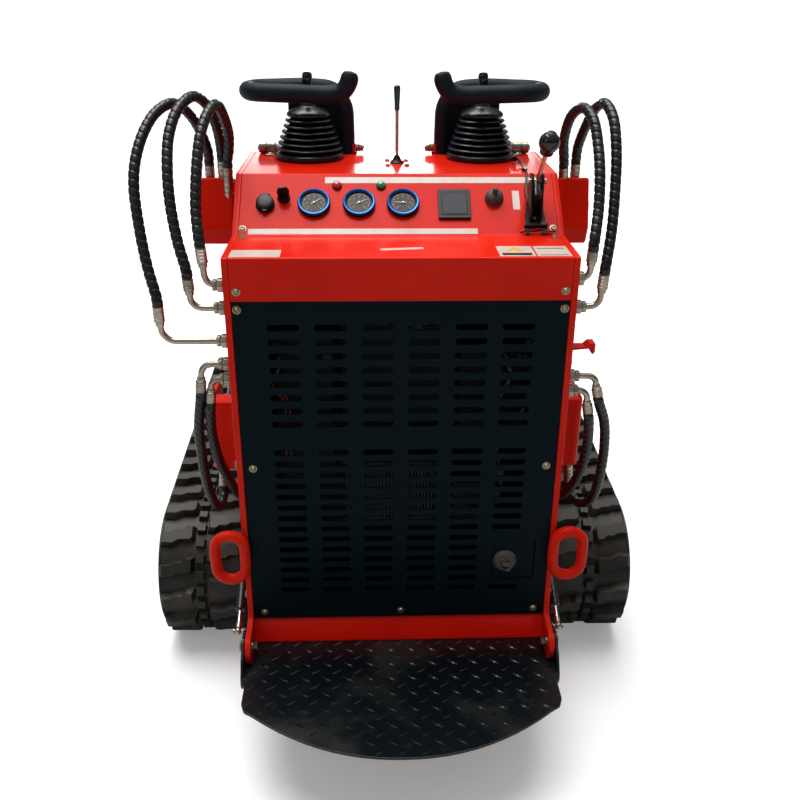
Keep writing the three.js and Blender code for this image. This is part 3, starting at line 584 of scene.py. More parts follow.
def point_mesh(name, places, edges=(), **vectors):
    """Bare points for a recipe to work on, with a vector attribute for each keyword."""
    mesh = bpy.data.meshes.new(name)
    mesh.from_pydata([tuple(p) for p in places], list(edges), [])
    for key, values in vectors.items():
        layer = mesh.attributes.new(key, "FLOAT_VECTOR", "POINT")
        layer.data.foreach_set("vector", [c for value in values for c in value])
    return mesh

# ------------------------------------------------------------------ finishes
def enamel(name, deep, bright, gloss=0.3, dust=0.16, coat=0.14):
    """Sprayed gloss enamel: faint orange peel, uneven gloss, dust low down and in patches."""
    f = Finish(name)
    cloud = f.noise(5.0, 4)
    fine = f.noise(260.0, 2)
    speck = f.noise(55.0, 5, roughness=0.7)
    low_down = 1 - f.height().ease(0.08, 0.62)
    film = (cloud.ease(0.42, 0.72) * 0.5 + low_down * 0.6) * speck.ease(0.35, 0.75) * dust
    colour = f.blend(cloud.ease(0.25, 0.8), deep, bright)
    colour = f.blend(film.least(1), colour, (0.16, 0.115, 0.085))
    chip = (f.cells(46.0) < 0.055) * (f.noise(9.0, 2) > 0.6) * (0.35 + low_down * 0.65)
    colour = f.blend(chip * 0.8, colour, (0.10, 0.045, 0.03))
    rough = gloss + cloud * 0.06 + film * 0.5 + chip * 0.3
    normal = f.bump(fine * 0.5 + speck * 0.5 - chip, 0.00022, 0.35)
    return f.finish(colour, rough, 0.0, normal, coat_weight=coat, coat_roughness=0.11, coat_ior=1.4,
                    specular_ior_level=0.05)


def powder_coat(name, colour, gloss, dust_colour=(0.11, 0.10, 0.09), dust=0.2, specular=0.4):
    """Black or dark powder coat with a fine sandy skin and a little settled dust."""
    f = Finish(name)
    sand = f.noise(900.0, 2)
    cloud = f.noise(7.0, 4)
    streak = f.noise(3.0, 5, stretch=(9, 9, 1))
    film = (cloud.ease(0.45, 0.8) * 0.6 + streak.ease(0.55, 0.85) * 0.4) * dust
    base = f.blend(film, colour, dust_colour)
    rough = gloss + cloud * 0.08 + film * 0.4
    normal = f.bump(sand, 0.0001, 0.25)
    return f.finish(base, rough, 0.0, normal, specular_ior_level=specular)


def plated(name, light, dark, rough, metal=1.0):
    """Zinc plate: a crystalline mottle and tarnish in the corners."""
    f = Finish(name)
    mottle = f.cells(160.0)
    tarnish = f.noise(24.0, 5, roughness=0.65)
    colour = f.blend((mottle * 0.2 + tarnish * 0.8).ease(0.35, 0.75), light, dark)
    brush = f.noise(700.0, 2, stretch=(1, 1, 0.1))
    return f.finish(colour, rough + tarnish * 0.22, metal, f.bump(brush, 0.00003, 0.2))


def polished(name, colour, rough=0.08):
    f = Finish(name)
    smear = f.noise(12.0, 4)
    hair = f.noise(420.0, 2, stretch=(1, 0.06, 1))
    return f.finish(colour, rough + smear.ease(0.45, 0.9) * 0.16, 1.0, f.bump(hair, 0.00002, 0.2))


def rubber(name, colour, worn, gloss, dust=0.3, grain=0.0002, scale=300.0, specular=0.5):
    f = Finish(name)
    cloud = f.noise(9.0, 5, roughness=0.6)
    skin = f.noise(scale, 3)
    up = f.facing_up().ease(0.1, 0.95)
    film = (cloud.ease(0.4, 0.75) * 0.65 + up * 0.35) * dust
    base = f.blend(film.least(1), colour, worn)
    return f.finish(base, gloss + film * 0.3 + skin * 0.06, 0.0, f.bump(skin, grain, 0.5),
                    specular_ior_level=specular)


def foam_sleeve(name):
    """Closed-cell foam: matt, slightly blue, with fine pores and a moulding sheen."""
    f = Finish(name)
    pores = f.cells(1100.0)
    cloud = f.noise(14.0, 4)
    colour = f.blend(cloud.ease(0.35, 0.75), (0.0014, 0.0062, 0.0125), (0.0030, 0.0098, 0.0180))
    height = (pores.ease(0.0, 0.4) * 0.6 + f.noise(240.0, 3) * 0.4)
    return f.finish(colour, 0.52 + cloud * 0.12, 0.0, f.bump(height, 0.00025, 0.5), specular_ior_level=0.22)


def dial_face(name):
    """Brown-grey dial paper behind glass: the gloss of the glass is the coat."""
    f = Finish(name)
    cloud = f.noise(60.0, 4)
    colour = f.blend(cloud, (0.040, 0.034, 0.027), (0.080, 0.068, 0.055))
    return f.finish(colour, 0.5, 0.0, coat_weight=0.25, coat_roughness=0.02, coat_ior=1.4,
                    specular_ior_level=0.1)


def lens(name, deep, bright):
    """A moulded lamp lens: tone that varies at random, with fine internal ribs."""
    f = Finish(name)
    ribs = f.noise(380.0, 2)
    colour = f.blend(f.noise(90.0, 2).ease(0.3, 0.7), deep, bright)
    return f.finish(colour, 0.12 + ribs * 0.08, 0.0, f.bump(ribs, 0.0001, 0.25), coat_weight=1.0,
                    coat_roughness=0.03)


def label_film(name, colour):
    """Blank printed film: faint yellowing and scuffs."""
    f = Finish(name)
    age = f.noise(30.0, 5, roughness=0.7)
    scuff = f.noise(160.0, 4, stretch=(0.25, 1, 1)).ease(0.6, 0.8)
    tone = f.blend(age.ease(0.35, 0.8), colour, tuple(c * k for c, k in zip(colour, (0.86, 0.80, 0.72))))
    tone = f.blend(scuff * 0.35, tone, (0.32, 0.27, 0.24))
    return f.finish(tone, 0.32 + age * 0.15, 0.0, f.bump(scuff, 0.00003, 0.4), coat_weight=0.3)


def casting(name, colour):
    f = Finish(name)
    sand = f.noise(190.0, 4, roughness=0.7)
    oil = f.noise(11.0, 4).ease(0.5, 0.75)
    base = f.blend(oil * 0.7, colour, (0.018, 0.015, 0.012))
    return f.finish(base, 0.62 - oil * 0.3, 0.35, f.bump(sand, 0.0006, 0.5))


RED = enamel("red_enamel", (0.64, 0.010, 0.002), (0.76, 0.017, 0.0035))
# A brighter copy of the red enamel for the rear crossbar: painted light, standing in for the light that
# falls on its face.
RED_PAINTED_LIGHT = enamel("red_enamel_worn", (0.88, 0.008, 0.002), (0.96, 0.014, 0.003), 0.3, 0.1, 0.2)
GRILLE_BLACK = powder_coat("grille_powder_coat", (0.0018, 0.0085, 0.0125), 0.3, dust=0.02, specular=0.05)
TREAD_BLACK = powder_coat("tread_plate_paint", (0.0018, 0.0042, 0.0062), 0.22, (0.052, 0.048, 0.034), 0.5,
                          0.35)
SATIN_BLACK = powder_coat("satin_black_paint", (0.005, 0.0065, 0.0085), 0.36, dust=0.14, specular=0.2)
CYLINDER_BLACK = powder_coat("cylinder_enamel", (0.008, 0.009, 0.010), 0.18, dust=0.12, specular=0.5)
ZINC = plated("zinc_plate", (0.50, 0.44, 0.37), (0.27, 0.225, 0.175), 0.2)
YELLOW_ZINC = plated("yellow_zinc_plate", (0.46, 0.38, 0.25), (0.26, 0.20, 0.12), 0.26)
STEEL = plated("bright_steel", (0.70, 0.70, 0.71), (0.45, 0.44, 0.43), 0.18)
CHROME = polished("hard_chrome", (0.78, 0.79, 0.81))
HOSE_BLACK = rubber("hose_guard", (0.0055, 0.006, 0.007), (0.035, 0.034, 0.030), 0.22, 0.22, 0.0001, 420.0,
                    0.4)
BOOT_BLACK = rubber("bellows_rubber", (0.0026, 0.0056, 0.0115), (0.010, 0.014, 0.021), 0.2, 0.25, 0.0001,
                    500.0, 0.45)
TRACK_BLACK = rubber("track_rubber", (0.0065, 0.0070, 0.0056), (0.12, 0.110, 0.082), 0.42, 0.55, 0.0009,
                     70.0, 0.4)
PLASTIC_BLACK = rubber("black_plastic", (0.0045, 0.0060, 0.0085), (0.018, 0.019, 0.021), 0.28, 0.15, 0.0001,
                       800.0, 0.25)
FOAM = foam_sleeve("foam_sleeve")
BEZEL_BLUE = polished("blue_bezel", (0.02, 0.115, 0.40), 0.16)
WORN_TREAD = polished("worn_tread", (0.115, 0.12, 0.12), 0.17)
DIAL = dial_face("dial_paper")
INK = label_film("dial_ink", (0.40, 0.38, 0.33))
RED_LENS = lens("red_lens", (0.42, 0.006, 0.008), (0.62, 0.02, 0.02))
GREEN_LENS = lens("green_lens", (0.004, 0.20, 0.07), (0.012, 0.36, 0.13))
SCREEN = powder_coat("meter_screen", (0.003, 0.006, 0.014), 0.12, dust=0.03, specular=0.2)
LABEL = label_film("blank_label", (0.62, 0.53, 0.47))
YELLOW_LABEL = label_film("blank_yellow_label", (0.62, 0.40, 0.04))
CAST_GREY = casting("cast_engine", (0.055, 0.056, 0.058))
COPPER = plated("bare_copper", (0.72, 0.30, 0.16), (0.40, 0.16, 0.09), 0.3)
RED_WIRE = rubber("red_wire", (0.34, 0.010, 0.008), (0.3, 0.06, 0.05), 0.35, 0.2, 0.0001, 600.0)
CAP_GREY = rubber("weathered_rubber", (0.055, 0.050, 0.044), (0.12, 0.105, 0.085), 0.5, 0.5, 0.0001, 500.0,
                  0.4)
GLOSS_BLACK = powder_coat("gloss_black_knob", (0.006, 0.0065, 0.0075), 0.08, dust=0.05, specular=0.6)
BROWN_SLEEVE = rubber("brown_sleeve", (0.06, 0.022, 0.012), (0.1, 0.05, 0.03), 0.35, 0.3, 0.0001, 500.0,
                      0.5)
WORN_EDGE = plated("worn_edge", (0.26, 0.25, 0.24), (0.12, 0.11, 0.10), 0.36)
# A flat near-black used as painted shade: behind the grille and under the hood louvres.
SHADE_BLACK = Finish("shroud_black").finish((0.006, 0.007, 0.009), 0.7)
FIN_GREY = Finish("cooler_fins").finish((0.11, 0.115, 0.12), 0.45, 0.8)


def floor_finish():
    """White floor as the camera sees it, which throws less light back up at the machine."""
    f = Finish("pale_floor")
    seen = f.node("ShaderNodeLightPath", out="Is Camera Ray")
    colour = f.blend(seen, (0.5, 0.5, 0.5), (0.88, 0.88, 0.88))
    return f.finish(colour, 0.62 + f.noise(3.0, 3) * 0.1, 0.0, specular_ior_level=0.2,
                    emission_color=(1, 1, 1, 1), emission_strength=seen * 0.24)


def make_stage():
    bpy.ops.mesh.primitive_plane_add(size=160, location=(0, 0, -0.0005))
    floor = bpy.context.object
    floor.name = "floor"
    floor.data.materials.append(floor_finish())
    world = bpy.data.worlds.new("studio")
    bpy.context.scene.world = world
    world.use_nodes = True
    sky = NodeMaker(world.node_tree)
    sky.tree.nodes.clear()
    direction = sky.node("ShaderNodeTexCoord", out="Generated")
    rise = sky.node("ShaderNodeSeparateXYZ", None, {"Vector": direction}, out="Z")
    ahead = sky.node("ShaderNodeSeparateXYZ", None, {"Vector": direction}, out="Y")
    glow = rise.ease(0.1, 0.95) * 0.35 + 0.05 + ahead.ease(-0.1, 0.9) * 0.2
    seen = sky.node("ShaderNodeLightPath", out="Is Camera Ray")
    background = sky.node("ShaderNodeBackground", None,
                          {"Color": (1, 1, 1, 1), "Strength": seen * 1.1 + (1 - seen) * glow})
    sky.node("ShaderNodeOutputWorld", None, {"Surface": background})
    sun = bpy.data.lights.new("sky_light", "SUN")
    sun.energy = 2.95
    sun.angle = radians(50)
    high = bpy.data.objects.new("sky_light", sun)
    bpy.context.scene.collection.objects.link(high)
    high.rotation_euler = Vector((0.10, -0.22, -1)).to_track_quat("-Z", "Y").to_euler()
    softbox("overhead", (-0.7, -0.4, 4.4), (0, -0.4, 0.8), (3.0, 1.6), 34)
    softbox("rear_left_fill", (-3.0, -3.2, 3.0), (0, -0.9, 0.9), (1.0, 1.6), 8)
    softbox("far_window", (0.1, 5.6, 2.0), (0, -0.5, 1.2), (2.6, 0.6), 48)
    softbox("far_window_middle", (0.08, 5.5, 2.0), (0, -0.5, 1.2), (0.9, 0.6), 34)
    bpy.context.scene.view_settings.view_transform = "Standard"
    bpy.context.scene.view_settings.look = "None"


make_camera()
make_stage()

# ------------------------------------------------------------------ hoses
HOSE_RADIUS = 9.0
GUARD_RADIUS = 10.4
GUARD_PITCH = 15.5
FERRULE_RADIUS = 9.5
ELBOW_RADIUS = 6
HOSE_GAP = 0.8
HOSE_STRAIGHT = 14
HOSES = [
    dict(side="left", name="boom_hose_outer", boom=True,
         elbow=[(320, 20, 896), (400, 20, 896), (432, 20, 898), (446, 20, 912), (449, 20, 928)],
         start=[(449, 20, 926), (450, 22, 964)],
         points=[(466, 45, 1030), (479, 70, 1093), (488, 100, 1170), (486, 130, 1214),
                 (475, 170, 1256), (458, 210, 1285), (434, 250, 1296), (412, 300, 1268), (397, 335, 1222),
                 (391, 350, 1190)],
         end=[(391, 354, 1160), (391, 354, 1110)]),
    dict(side="left", name="boom_hose_middle", boom=True,
         elbow=[(320, 20, 961), (350, 20, 961), (376, 20, 963), (387, 20, 974), (389, 20, 988)],
         start=[(389, 20, 986), (391, 23, 1016)],
         points=[(407, 45, 1080), (419, 70, 1144), (424, 100, 1203), (424, 140, 1253),
                 (413, 185, 1292), (392, 240, 1310), (374, 290, 1286), (365, 325, 1240), (363, 344, 1198)],
         end=[(363, 347, 1170), (363, 347, 1110)]),
    dict(side="left", name="boom_hose_inner", boom=True,
         elbow=[(320, 20, 1005), (338, 20, 1005), (353, 20, 1010), (359, 20, 1022), (360, 20, 1040)],
         start=[(360, 20, 1038), (363, 24, 1074)],
         points=[(370, 50, 1132), (369, 90, 1205), (364, 130, 1258), (355, 170, 1288),
                 (345, 215, 1298), (339, 260, 1268), (338, 298, 1228), (343, 315, 1194)],
         end=[(348.5, 322.5, 1162), (351, 326, 1105)]),
    dict(side="right", name="boom_hose_inner", boom=True,
         elbow=[(320, 20, 1015), (334, 20, 1015), (343, 20, 1020), (348, 20, 1030), (348, 20, 1040)],
         start=[(348, 20, 1038), (350, 22, 1066)],
         points=[(363, 62, 1134), (368, 95, 1187), (370, 140, 1238), (366, 180, 1278),
                 (356, 230, 1292), (345, 280, 1268), (343, 318, 1218), (348, 333, 1190)],
         end=[(351.5, 338.5, 1158), (354, 341, 1105)]),
    dict(side="right", name="boom_hose_outer", boom=True,
         elbow=[(320, 20, 960), (345, 20, 960), (363, 20, 963), (371, 20, 973), (373, 20, 988)],
         start=[(373, 20, 986), (376, 23, 1022)],
         points=[(391, 60, 1096), (399, 95, 1160), (404, 132, 1225), (403, 175, 1280),
                 (396, 220, 1301), (389, 265, 1286), (383, 315, 1240), (379, 345, 1198)],
         end=[(379, 350, 1164), (379, 350, 1110)]),
    dict(side="left", name="lift_hose_outer", boom=False,
         elbow=[(320, 20, 849), (352, 20, 849), (372, 20, 845), (380, 20, 834), (382, 20, 820)],
         start=[(382, 20, 822), (385, 20, 792)],
         points=[(399, 40, 708), (403, 60, 632), (403, 85, 552), (399, 115, 490),
                 (396, 145, 458), (394, 178, 444)],
         end=[(392, 213, 472), (391, 222, 518)]),
    dict(side="left", name="lift_hose_inner", boom=False,
         elbow=[(320, 20, 818), (345, 20, 818), (358, 20, 814), (364, 20, 806), (365, 20, 796)],
         start=[(365, 20, 798), (368, 20, 770)],
         points=[(375, 42, 694), (371, 70, 617), (361, 115, 543), (354, 165, 480), (353, 212, 450)],
         end=[(353, 257, 482), (353, 268, 518)]),
    dict(side="right", name="lift_hose_outer", boom=False,
         elbow=[(320, 20, 819), (352, 20, 819), (370, 20, 817), (379, 20, 809), (381, 20, 798)],
         start=[(381, 20, 800), (387, 20, 776)],
         points=[(411, 40, 710), (423, 60, 640), (426, 80, 560), (423, 105, 495),
                 (415, 135, 462), (402, 176, 445)],
         end=[(393, 213, 472), (391, 222, 518)]),
    dict(side="right", name="lift_hose_inner", boom=False,
         elbow=[(320, 20, 789), (345, 20, 789), (358, 20, 785), (365, 20, 776), (366, 20, 764)],
         start=[(366, 20, 766), (371, 20, 740)],
         points=[(383, 45, 654), (382, 75, 579), (372, 112, 512), (361, 160, 468), (355, 212, 449)],
         end=[(353, 257, 482), (353, 268, 518)]),
]


def outward(sign, points):
    return [Vector((sign * x, y, z)) for x, y, z in points]


def hose_route(hose, sign):
    """The hose's centreline between its two ferrules, leaving each in line with it."""
    start, end = outward(sign, hose["start"]), outward(sign, hose["end"])
    leave = (start[1] - start[0]).normalized()
    arrive = (end[0] - end[1]).normalized()
    knots = [start[1] + leave * HOSE_GAP, start[1] + leave * HOSE_STRAIGHT, *outward(sign, hose["points"]),
             end[0] + arrive * HOSE_STRAIGHT, end[0] + arrive * HOSE_GAP]
    return smooth_path(knots, 72)


def spiral_guard():
    """A hose along bare edges, wrapped in a helical guard whose ridges stand off it."""
    r = Recipe("spiral_guard", radius="float", guard="float", pitch="float", step="float", sides="int")
    line = r.node("GeometryNodeMeshToCurve", None, {"Mesh": r.shape})
    line = r.node("GeometryNodeResampleCurve", {"mode": "LENGTH"},
                  {"Curve": line, "Length": r.input("step")})
    along = r.node("GeometryNodeSplineParameter", out="Length")
    line = r.store(line, "along", along)
    ring = r.node("GeometryNodeCurvePrimitiveCircle", None,
                  {"Resolution": r.input("sides"), "Radius": r.input("radius")})
    around = r.node("GeometryNodeSplineParameter", out="Factor")
    ring = r.store(ring, "around", around)
    tube = r.node("GeometryNodeCurveToMesh", None, {"Curve": line, "Profile Curve": ring,
                                                    "Fill Caps": True})
    phase = (r.attribute("along") / r.input("pitch") + r.attribute("around")) % 1.0
    ridge = 1 - ((phase - 0.5).size() * 2).ease(0.62, 0.98)
    lift = ridge * (r.input("guard") - r.input("radius"))
    normal = r.node("GeometryNodeInputNormal")
    offset = r.vector("SCALE", normal)
    r.feed(offset.socket.node.inputs["Scale"], lift)
    shaped = r.node("GeometryNodeSetPosition", None, {"Geometry": tube, "Offset": offset})
    return r.close(shaped)


SPIRAL_GUARD = spiral_guard()


def make_hoses():
    signs = dict(SIDES)
    for hose in HOSES:
        sign = signs[hose["side"]]
        name = f'{hose["side"]}_{hose["name"]}'
        route = hose_route(hose, sign)
        start = point_mesh(name, route, [(i, i + 1) for i in range(len(route) - 1)])
        guard = SPIRAL_GUARD.make(f"{name}_guarded", start, radius=HOSE_RADIUS, guard=GUARD_RADIUS,
                                  pitch=GUARD_PITCH, step=GUARD_PITCH / 12, sides=14, finish=HOSE_BLACK)
        path = [LAYOUT @ point for point in route]
        settle(guard, None if hose["boom"] else "chassis", name)
        path_length(path)
        if hose["boom"]:
            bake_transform(guard)


make_hoses()

# ------------------------------------------------------------------ things that repeat
def set_out():
    """Copies of one part, stood on points, with Z along `out` and X along `along`."""
    r = Recipe("set_out", part="object")
    turn = r.node("FunctionNodeAxesToRotation", {"primary_axis": "Z", "secondary_axis": "X"},
                  {"Primary Axis": r.attribute("out", "FLOAT_VECTOR"),
                   "Secondary Axis": r.attribute("along", "FLOAT_VECTOR")})
    part = r.node("GeometryNodeObjectInfo", None, {"Object": r.input("part")}, out="Geometry")
    return r.close(r.node("GeometryNodeInstanceOnPoints", None,
                          {"Points": r.shape, "Instance": part, "Rotation": turn}))


SET_OUT = set_out()


def stand(name, form, spots, finish, body, replaces=()):
    """One part set out over spots, each a place, the way it faces, and the way its X points."""
    mesh = bpy.data.meshes.new(name + "_part")
    bmesh.ops.recalc_face_normals(form, faces=form.faces)
    form.to_mesh(mesh)
    form.free()
    part = bpy.data.objects.new(name + "_part", mesh)
    bpy.context.scene.collection.objects.link(part)
    start = point_mesh(name, [spot[0] for spot in spots], (), out=[spot[1] for spot in spots],
                       along=[spot[2] for spot in spots])
    made = SET_OUT.make(name, start, part=part, finish=finish)
    bpy.data.objects.remove(part)
    return settle(made, body, replaces)


UP, DOWN = (0, 0, 1), (0, 0, -1)
BACK, AHEAD = (0, -1, 0), (0, 1, 0)
LEFT, RIGHT = (-1, 0, 0), (1, 0, 0)
PANEL_OUT = tuple(PANEL.to_3x3() @ Vector(UP))


def side_spot(sign, x, y, z):
    """A spot on one side of the machine that faces outwards."""
    return (sign * x, y, z), (sign, 0, 0), AHEAD


def on_panel(x, s, h=0.0):
    return tuple(PANEL @ Vector((x, s, h)))


def cap_screw(radius=7.5, head=4.5, socket=3.4):
    """Button-head screw with a hexagon socket, standing on a washer."""
    return turned([(radius * 1.3, 0), (radius * 1.3, 1.2), (radius, 1.5), (radius * 0.94, head * 0.6),
                   (radius * 0.66, head), (socket, head), (socket, head * 0.5), (0, head * 0.45)], 16)


def hex_bolt(across=10, head=7, washer=1.8):
    """Hexagon head with its chamfer, washer under it, seen from its outer end."""
    form = turned(rectangle(0, across * 1.05, 0, washer), 20)
    part = prism(hexagon(across * 0.8), washer, washer + head, "Z")
    bevelled(part, across * 0.1, 1, 80)
    mesh = bpy.data.meshes.new("head")
    part.to_mesh(mesh)
    part.free()
    form.from_mesh(mesh)
    bpy.data.meshes.remove(mesh)
    return form


# ------------------------------------------------------------------ console
LABEL_THICK = 0.5


def make_console():
    slope = LEDGE_DEPTH + PANEL_DEPTH
    apron_foot = CONSOLE_LOW.z
    outer = [(0, apron_foot), (0, LEDGE_HEIGHT), (LEDGE_DEPTH, LEDGE_HEIGHT), (slope, CONSOLE_HEIGHT),
             (CONSOLE_BACK, CONSOLE_HEIGHT), (CONSOLE_BACK, CONSOLE_HEIGHT - 90)]
    inner = [(CONSOLE_BACK - SHEET, CONSOLE_HEIGHT - 90), (CONSOLE_BACK - SHEET, CONSOLE_HEIGHT - SHEET),
             (slope + 1.5, CONSOLE_HEIGHT - SHEET), (LEDGE_DEPTH + 1.5, LEDGE_HEIGHT - SHEET),
             (SHEET, LEDGE_HEIGHT - SHEET), (SHEET, apron_foot)]
    outline = rounded([*outer, *inner], [0, 6, 9, 7, 6, 0, 0, 3, 4, 11, 3, 0], 5)
    console = Piece("console_housing_sheet")
    console.plate(outline, -INSIDE, INSIDE, "X", RED, 0.9, 2)
    console.done("chassis", "console_housing", "red_paint")

    trim = Piece("console_labels")
    level = moved(0, 0, LEDGE_HEIGHT)
    crooked = moved(2, 58, LEDGE_HEIGHT) @ Matrix.Rotation(0.12, 4, "Z")
    for x0, x1, y0, y1, at in (
            (-146, 291, 127, 142, PANEL), (-294, 154, 4, 17, PANEL), (228, 242, 62, 108, PANEL),
            (1 - INSIDE, -220, 5, 52, level), (-40, 40, -6.5, 6.5, crooked), (178, 244, 6, 74, level),
            (247, 310, 6, 74, level)):
        trim.bar(x0, x1, y0, y1, 0.1, LABEL_THICK, LABEL, 0.15, 1, at)
    triangle = [(-18, -14), (18, -14), (0, 17)]
    low, high = LABEL_THICK, LABEL_THICK + 0.2
    trim.add(prism(rounded(triangle, 3), low, high, "Z"), YELLOW_LABEL, moved(211, 52, LEDGE_HEIGHT))
    for x0, x1, y0, y1 in ((184, 238, 12, 27), (253, 304, 12, 15), (253, 304, 56, 59)):
        trim.add(block(x0, x1, y0, y1, LEDGE_HEIGHT + low, LEDGE_HEIGHT + high), SATIN_BLACK)
    trim.done("chassis")

    spots = [((x, 0.0, z), BACK, RIGHT) for x, z in [(-301, 998), (301, 998)]]
    spots += [(on_panel(x, s), PANEL_OUT, RIGHT) for x, s in [(-305, 17), (304, 17)]]
    spots += [((x, LEDGE_DEPTH - 10, LEDGE_HEIGHT), UP, RIGHT) for x in (-303, 303)]
    stand("console_screws", cap_screw(6.0, 4.2, 2.8), spots, YELLOW_ZINC, "chassis")


def tick_marks(piece, radius, count, start, sweep, place, finish, long_every=5):
    for i in range(count + 1):
        reach, wide = (2.4, 0.2) if i % long_every else (4.2, 0.35)
        mark = block(radius - reach, radius, -wide, wide, 0, 0.35)
        piece.add(mark, finish, place @ spun(start - sweep * i / count))


def make_gauge(name, x, needle):
    """A filled pressure gauge: anodised bezel, inner lip, dial, ticks, numerals' blocks, needle."""
    place = PANEL @ moved(x, 75, 0)
    gauge = Piece(name + "_bezel")
    ring = [(31, 0.4), (32.5, 2), (32.5, 8.0), (31.7, 10.4), (30, 11.7), (27.6, 11.5), (25.9, 10.0),
            (25.3, 7.5), (25.3, 5.0)]
    gauge.lathe(ring, 56, BEZEL_BLUE, place)
    dark = [(25.3, 5.0), (25.3, 7.4), (24.4, 7.4), (23.6, 5.8), (0, 5.6)]
    gauge.lathe(dark, 48, PLASTIC_BLACK, place)
    gauge.lathe([(23.4, 5.7), (23.4, 6.1), (0, 6.2)], 48, DIAL, place)
    top = place @ moved(0, 0, 6.15)
    tick_marks(gauge, 21.8, 40, 225, 270, top, INK)
    for i in range(7):
        angle = radians(225 - 45 * i)
        at = top @ moved(14.2 * cos(angle), 14.2 * sin(angle), 0)
        gauge.add(block(-1.2, 1.2, -0.5, 0.5, 0, 0.3), INK, at)
    hand = prism([(-6, -1.4), (19, -0.35), (19, 0.35), (-6, 1.4)], 0.6, 1.1, "Z")
    gauge.add(hand, INK, top @ spun(needle))
    gauge.lathe([(2.8, 0), (2.8, 1.6), (1.8, 2.4), (0, 2.5)], 20, STEEL, top)
    gauge.done("chassis", name, "gauge_bezel")


def make_panel():
    for name, x, needle in (("left_gauge", -167, 36), ("middle_gauge", -78, 28), ("right_gauge", 9, 176)):
        make_gauge(name, x, needle)

    for name, x, finish, slot in (("red_warning_lamp", -122, RED_LENS, "red_lens"),
                                  ("green_warning_lamp", -34, GREEN_LENS, "green_lens")):
        place = PANEL @ moved(x, 120, 0)
        lamp = Piece(name + "_lens")
        lamp.lathe([(9.8, 0.4), (9.8, 2.2), (8.6, 3.2)], 32, PLASTIC_BLACK, place)
        dome = [(8.4, 3.0), (8.4, 5.2), (7.8, 7.0), (6.4, 8.6), (4.0, 9.8), (0, 10.3)]
        lamp.lathe(dome, 32, finish, place)
        lamp.done("chassis", name, slot)

    meter = Piece("hour_meter_body")
    at = PANEL @ moved(110.5, 73, 0)
    frame_outline = rounded(rectangle(-32, 32, -35, 35), 3, 4)
    meter.plate(frame_outline, 0.4, 6.5, "Z", PLASTIC_BLACK, 1.2, 2, at)
    well = rounded(rectangle(-26, 26, -28, 28), 2, 3)
    meter.plate(well, 6.0, 7.4, "Z", SATIN_BLACK, 0.6, 2, at)
    glass = rounded(rectangle(-23, 23, -24, 24), 1.5, 3)
    meter.add(prism(glass, 7.3, 7.7, "Z"), SCREEN, at)
    meter.done("chassis", "hour_meter", "black_plastic")

    socket = Piece("power_socket_body")
    at = PANEL @ moved(-263, 74, 0)
    socket.lathe([(19, 0.4), (19, 2.5), (17.6, 4), (16.5, 4.2), (16, 7)], 40, PLASTIC_BLACK, at)
    lid = [(16.6, 7.2), (17.4, 8.4), (17.4, 11), (16, 12.6), (11, 13.6), (0, 14.2)]
    socket.lathe(lid, 40, PLASTIC_BLACK, at)
    hinge = swept([(-9, 19, 6), (9, 19, 6)], 3.6, 14)
    socket.add(bevelled(hinge, 0.6, 1, 60), PLASTIC_BLACK, at)
    socket.bar(-6.5, 6.5, 13, 20, 6, 12, PLASTIC_BLACK, 1.2, 2, at)
    socket.bar(-4.5, 4.5, -22, -15, 7.5, 10.5, PLASTIC_BLACK, 1.1, 2, at)
    socket.done("chassis", "power_socket", "black_plastic")

    key = Piece("ignition_key")
    at = PANEL @ moved(-227, 90, 0)
    key.lathe([(13, 0.4), (13, 2.2), (11.5, 3.4), (11.2, 5), (9.6, 9.4), (4, 9.8)], 36, PLASTIC_BLACK, at)
    blade = rounded([(-10.5, 0), (10.5, 0), (12.5, 12), (8, 25), (-8, 25), (-12.5, 12)], 5, 5)
    grip = prism(blade, -2.6, 2.6, "Y")
    key.add(bevelled(grip, 1.4, 2, 60), PLASTIC_BLACK, at @ moved(0, 0, 10) @ spun(8))
    key.bar(-2.2, 2.2, -2.2, 2.2, 8.8, 16, STEEL, 0.4, 1, at)
    key.done("chassis", "ignition_switch", "black_plastic")

    cap = Piece("rubber_switch_cap")
    at = PANEL @ moved(191, 88, 0)
    cap.lathe([(18, 0.4), (18.4, 2.2), (17.6, 5.0), (17.6, 9), (16.2, 13.5), (13, 16.8), (8, 18.8),
               (5.4, 19.4), (5.0, 24), (5.2, 31), (4.0, 34), (0, 34.6)], 40, CAP_GREY, at)
    cap.lathe([(0, 0.5), (19.2, 0.6), (19.2, 1.2), (18.0, 2.4)], 40, CAP_GREY, at)
    cap.done("chassis", "rubber_cap_switch", "boot_rubber")


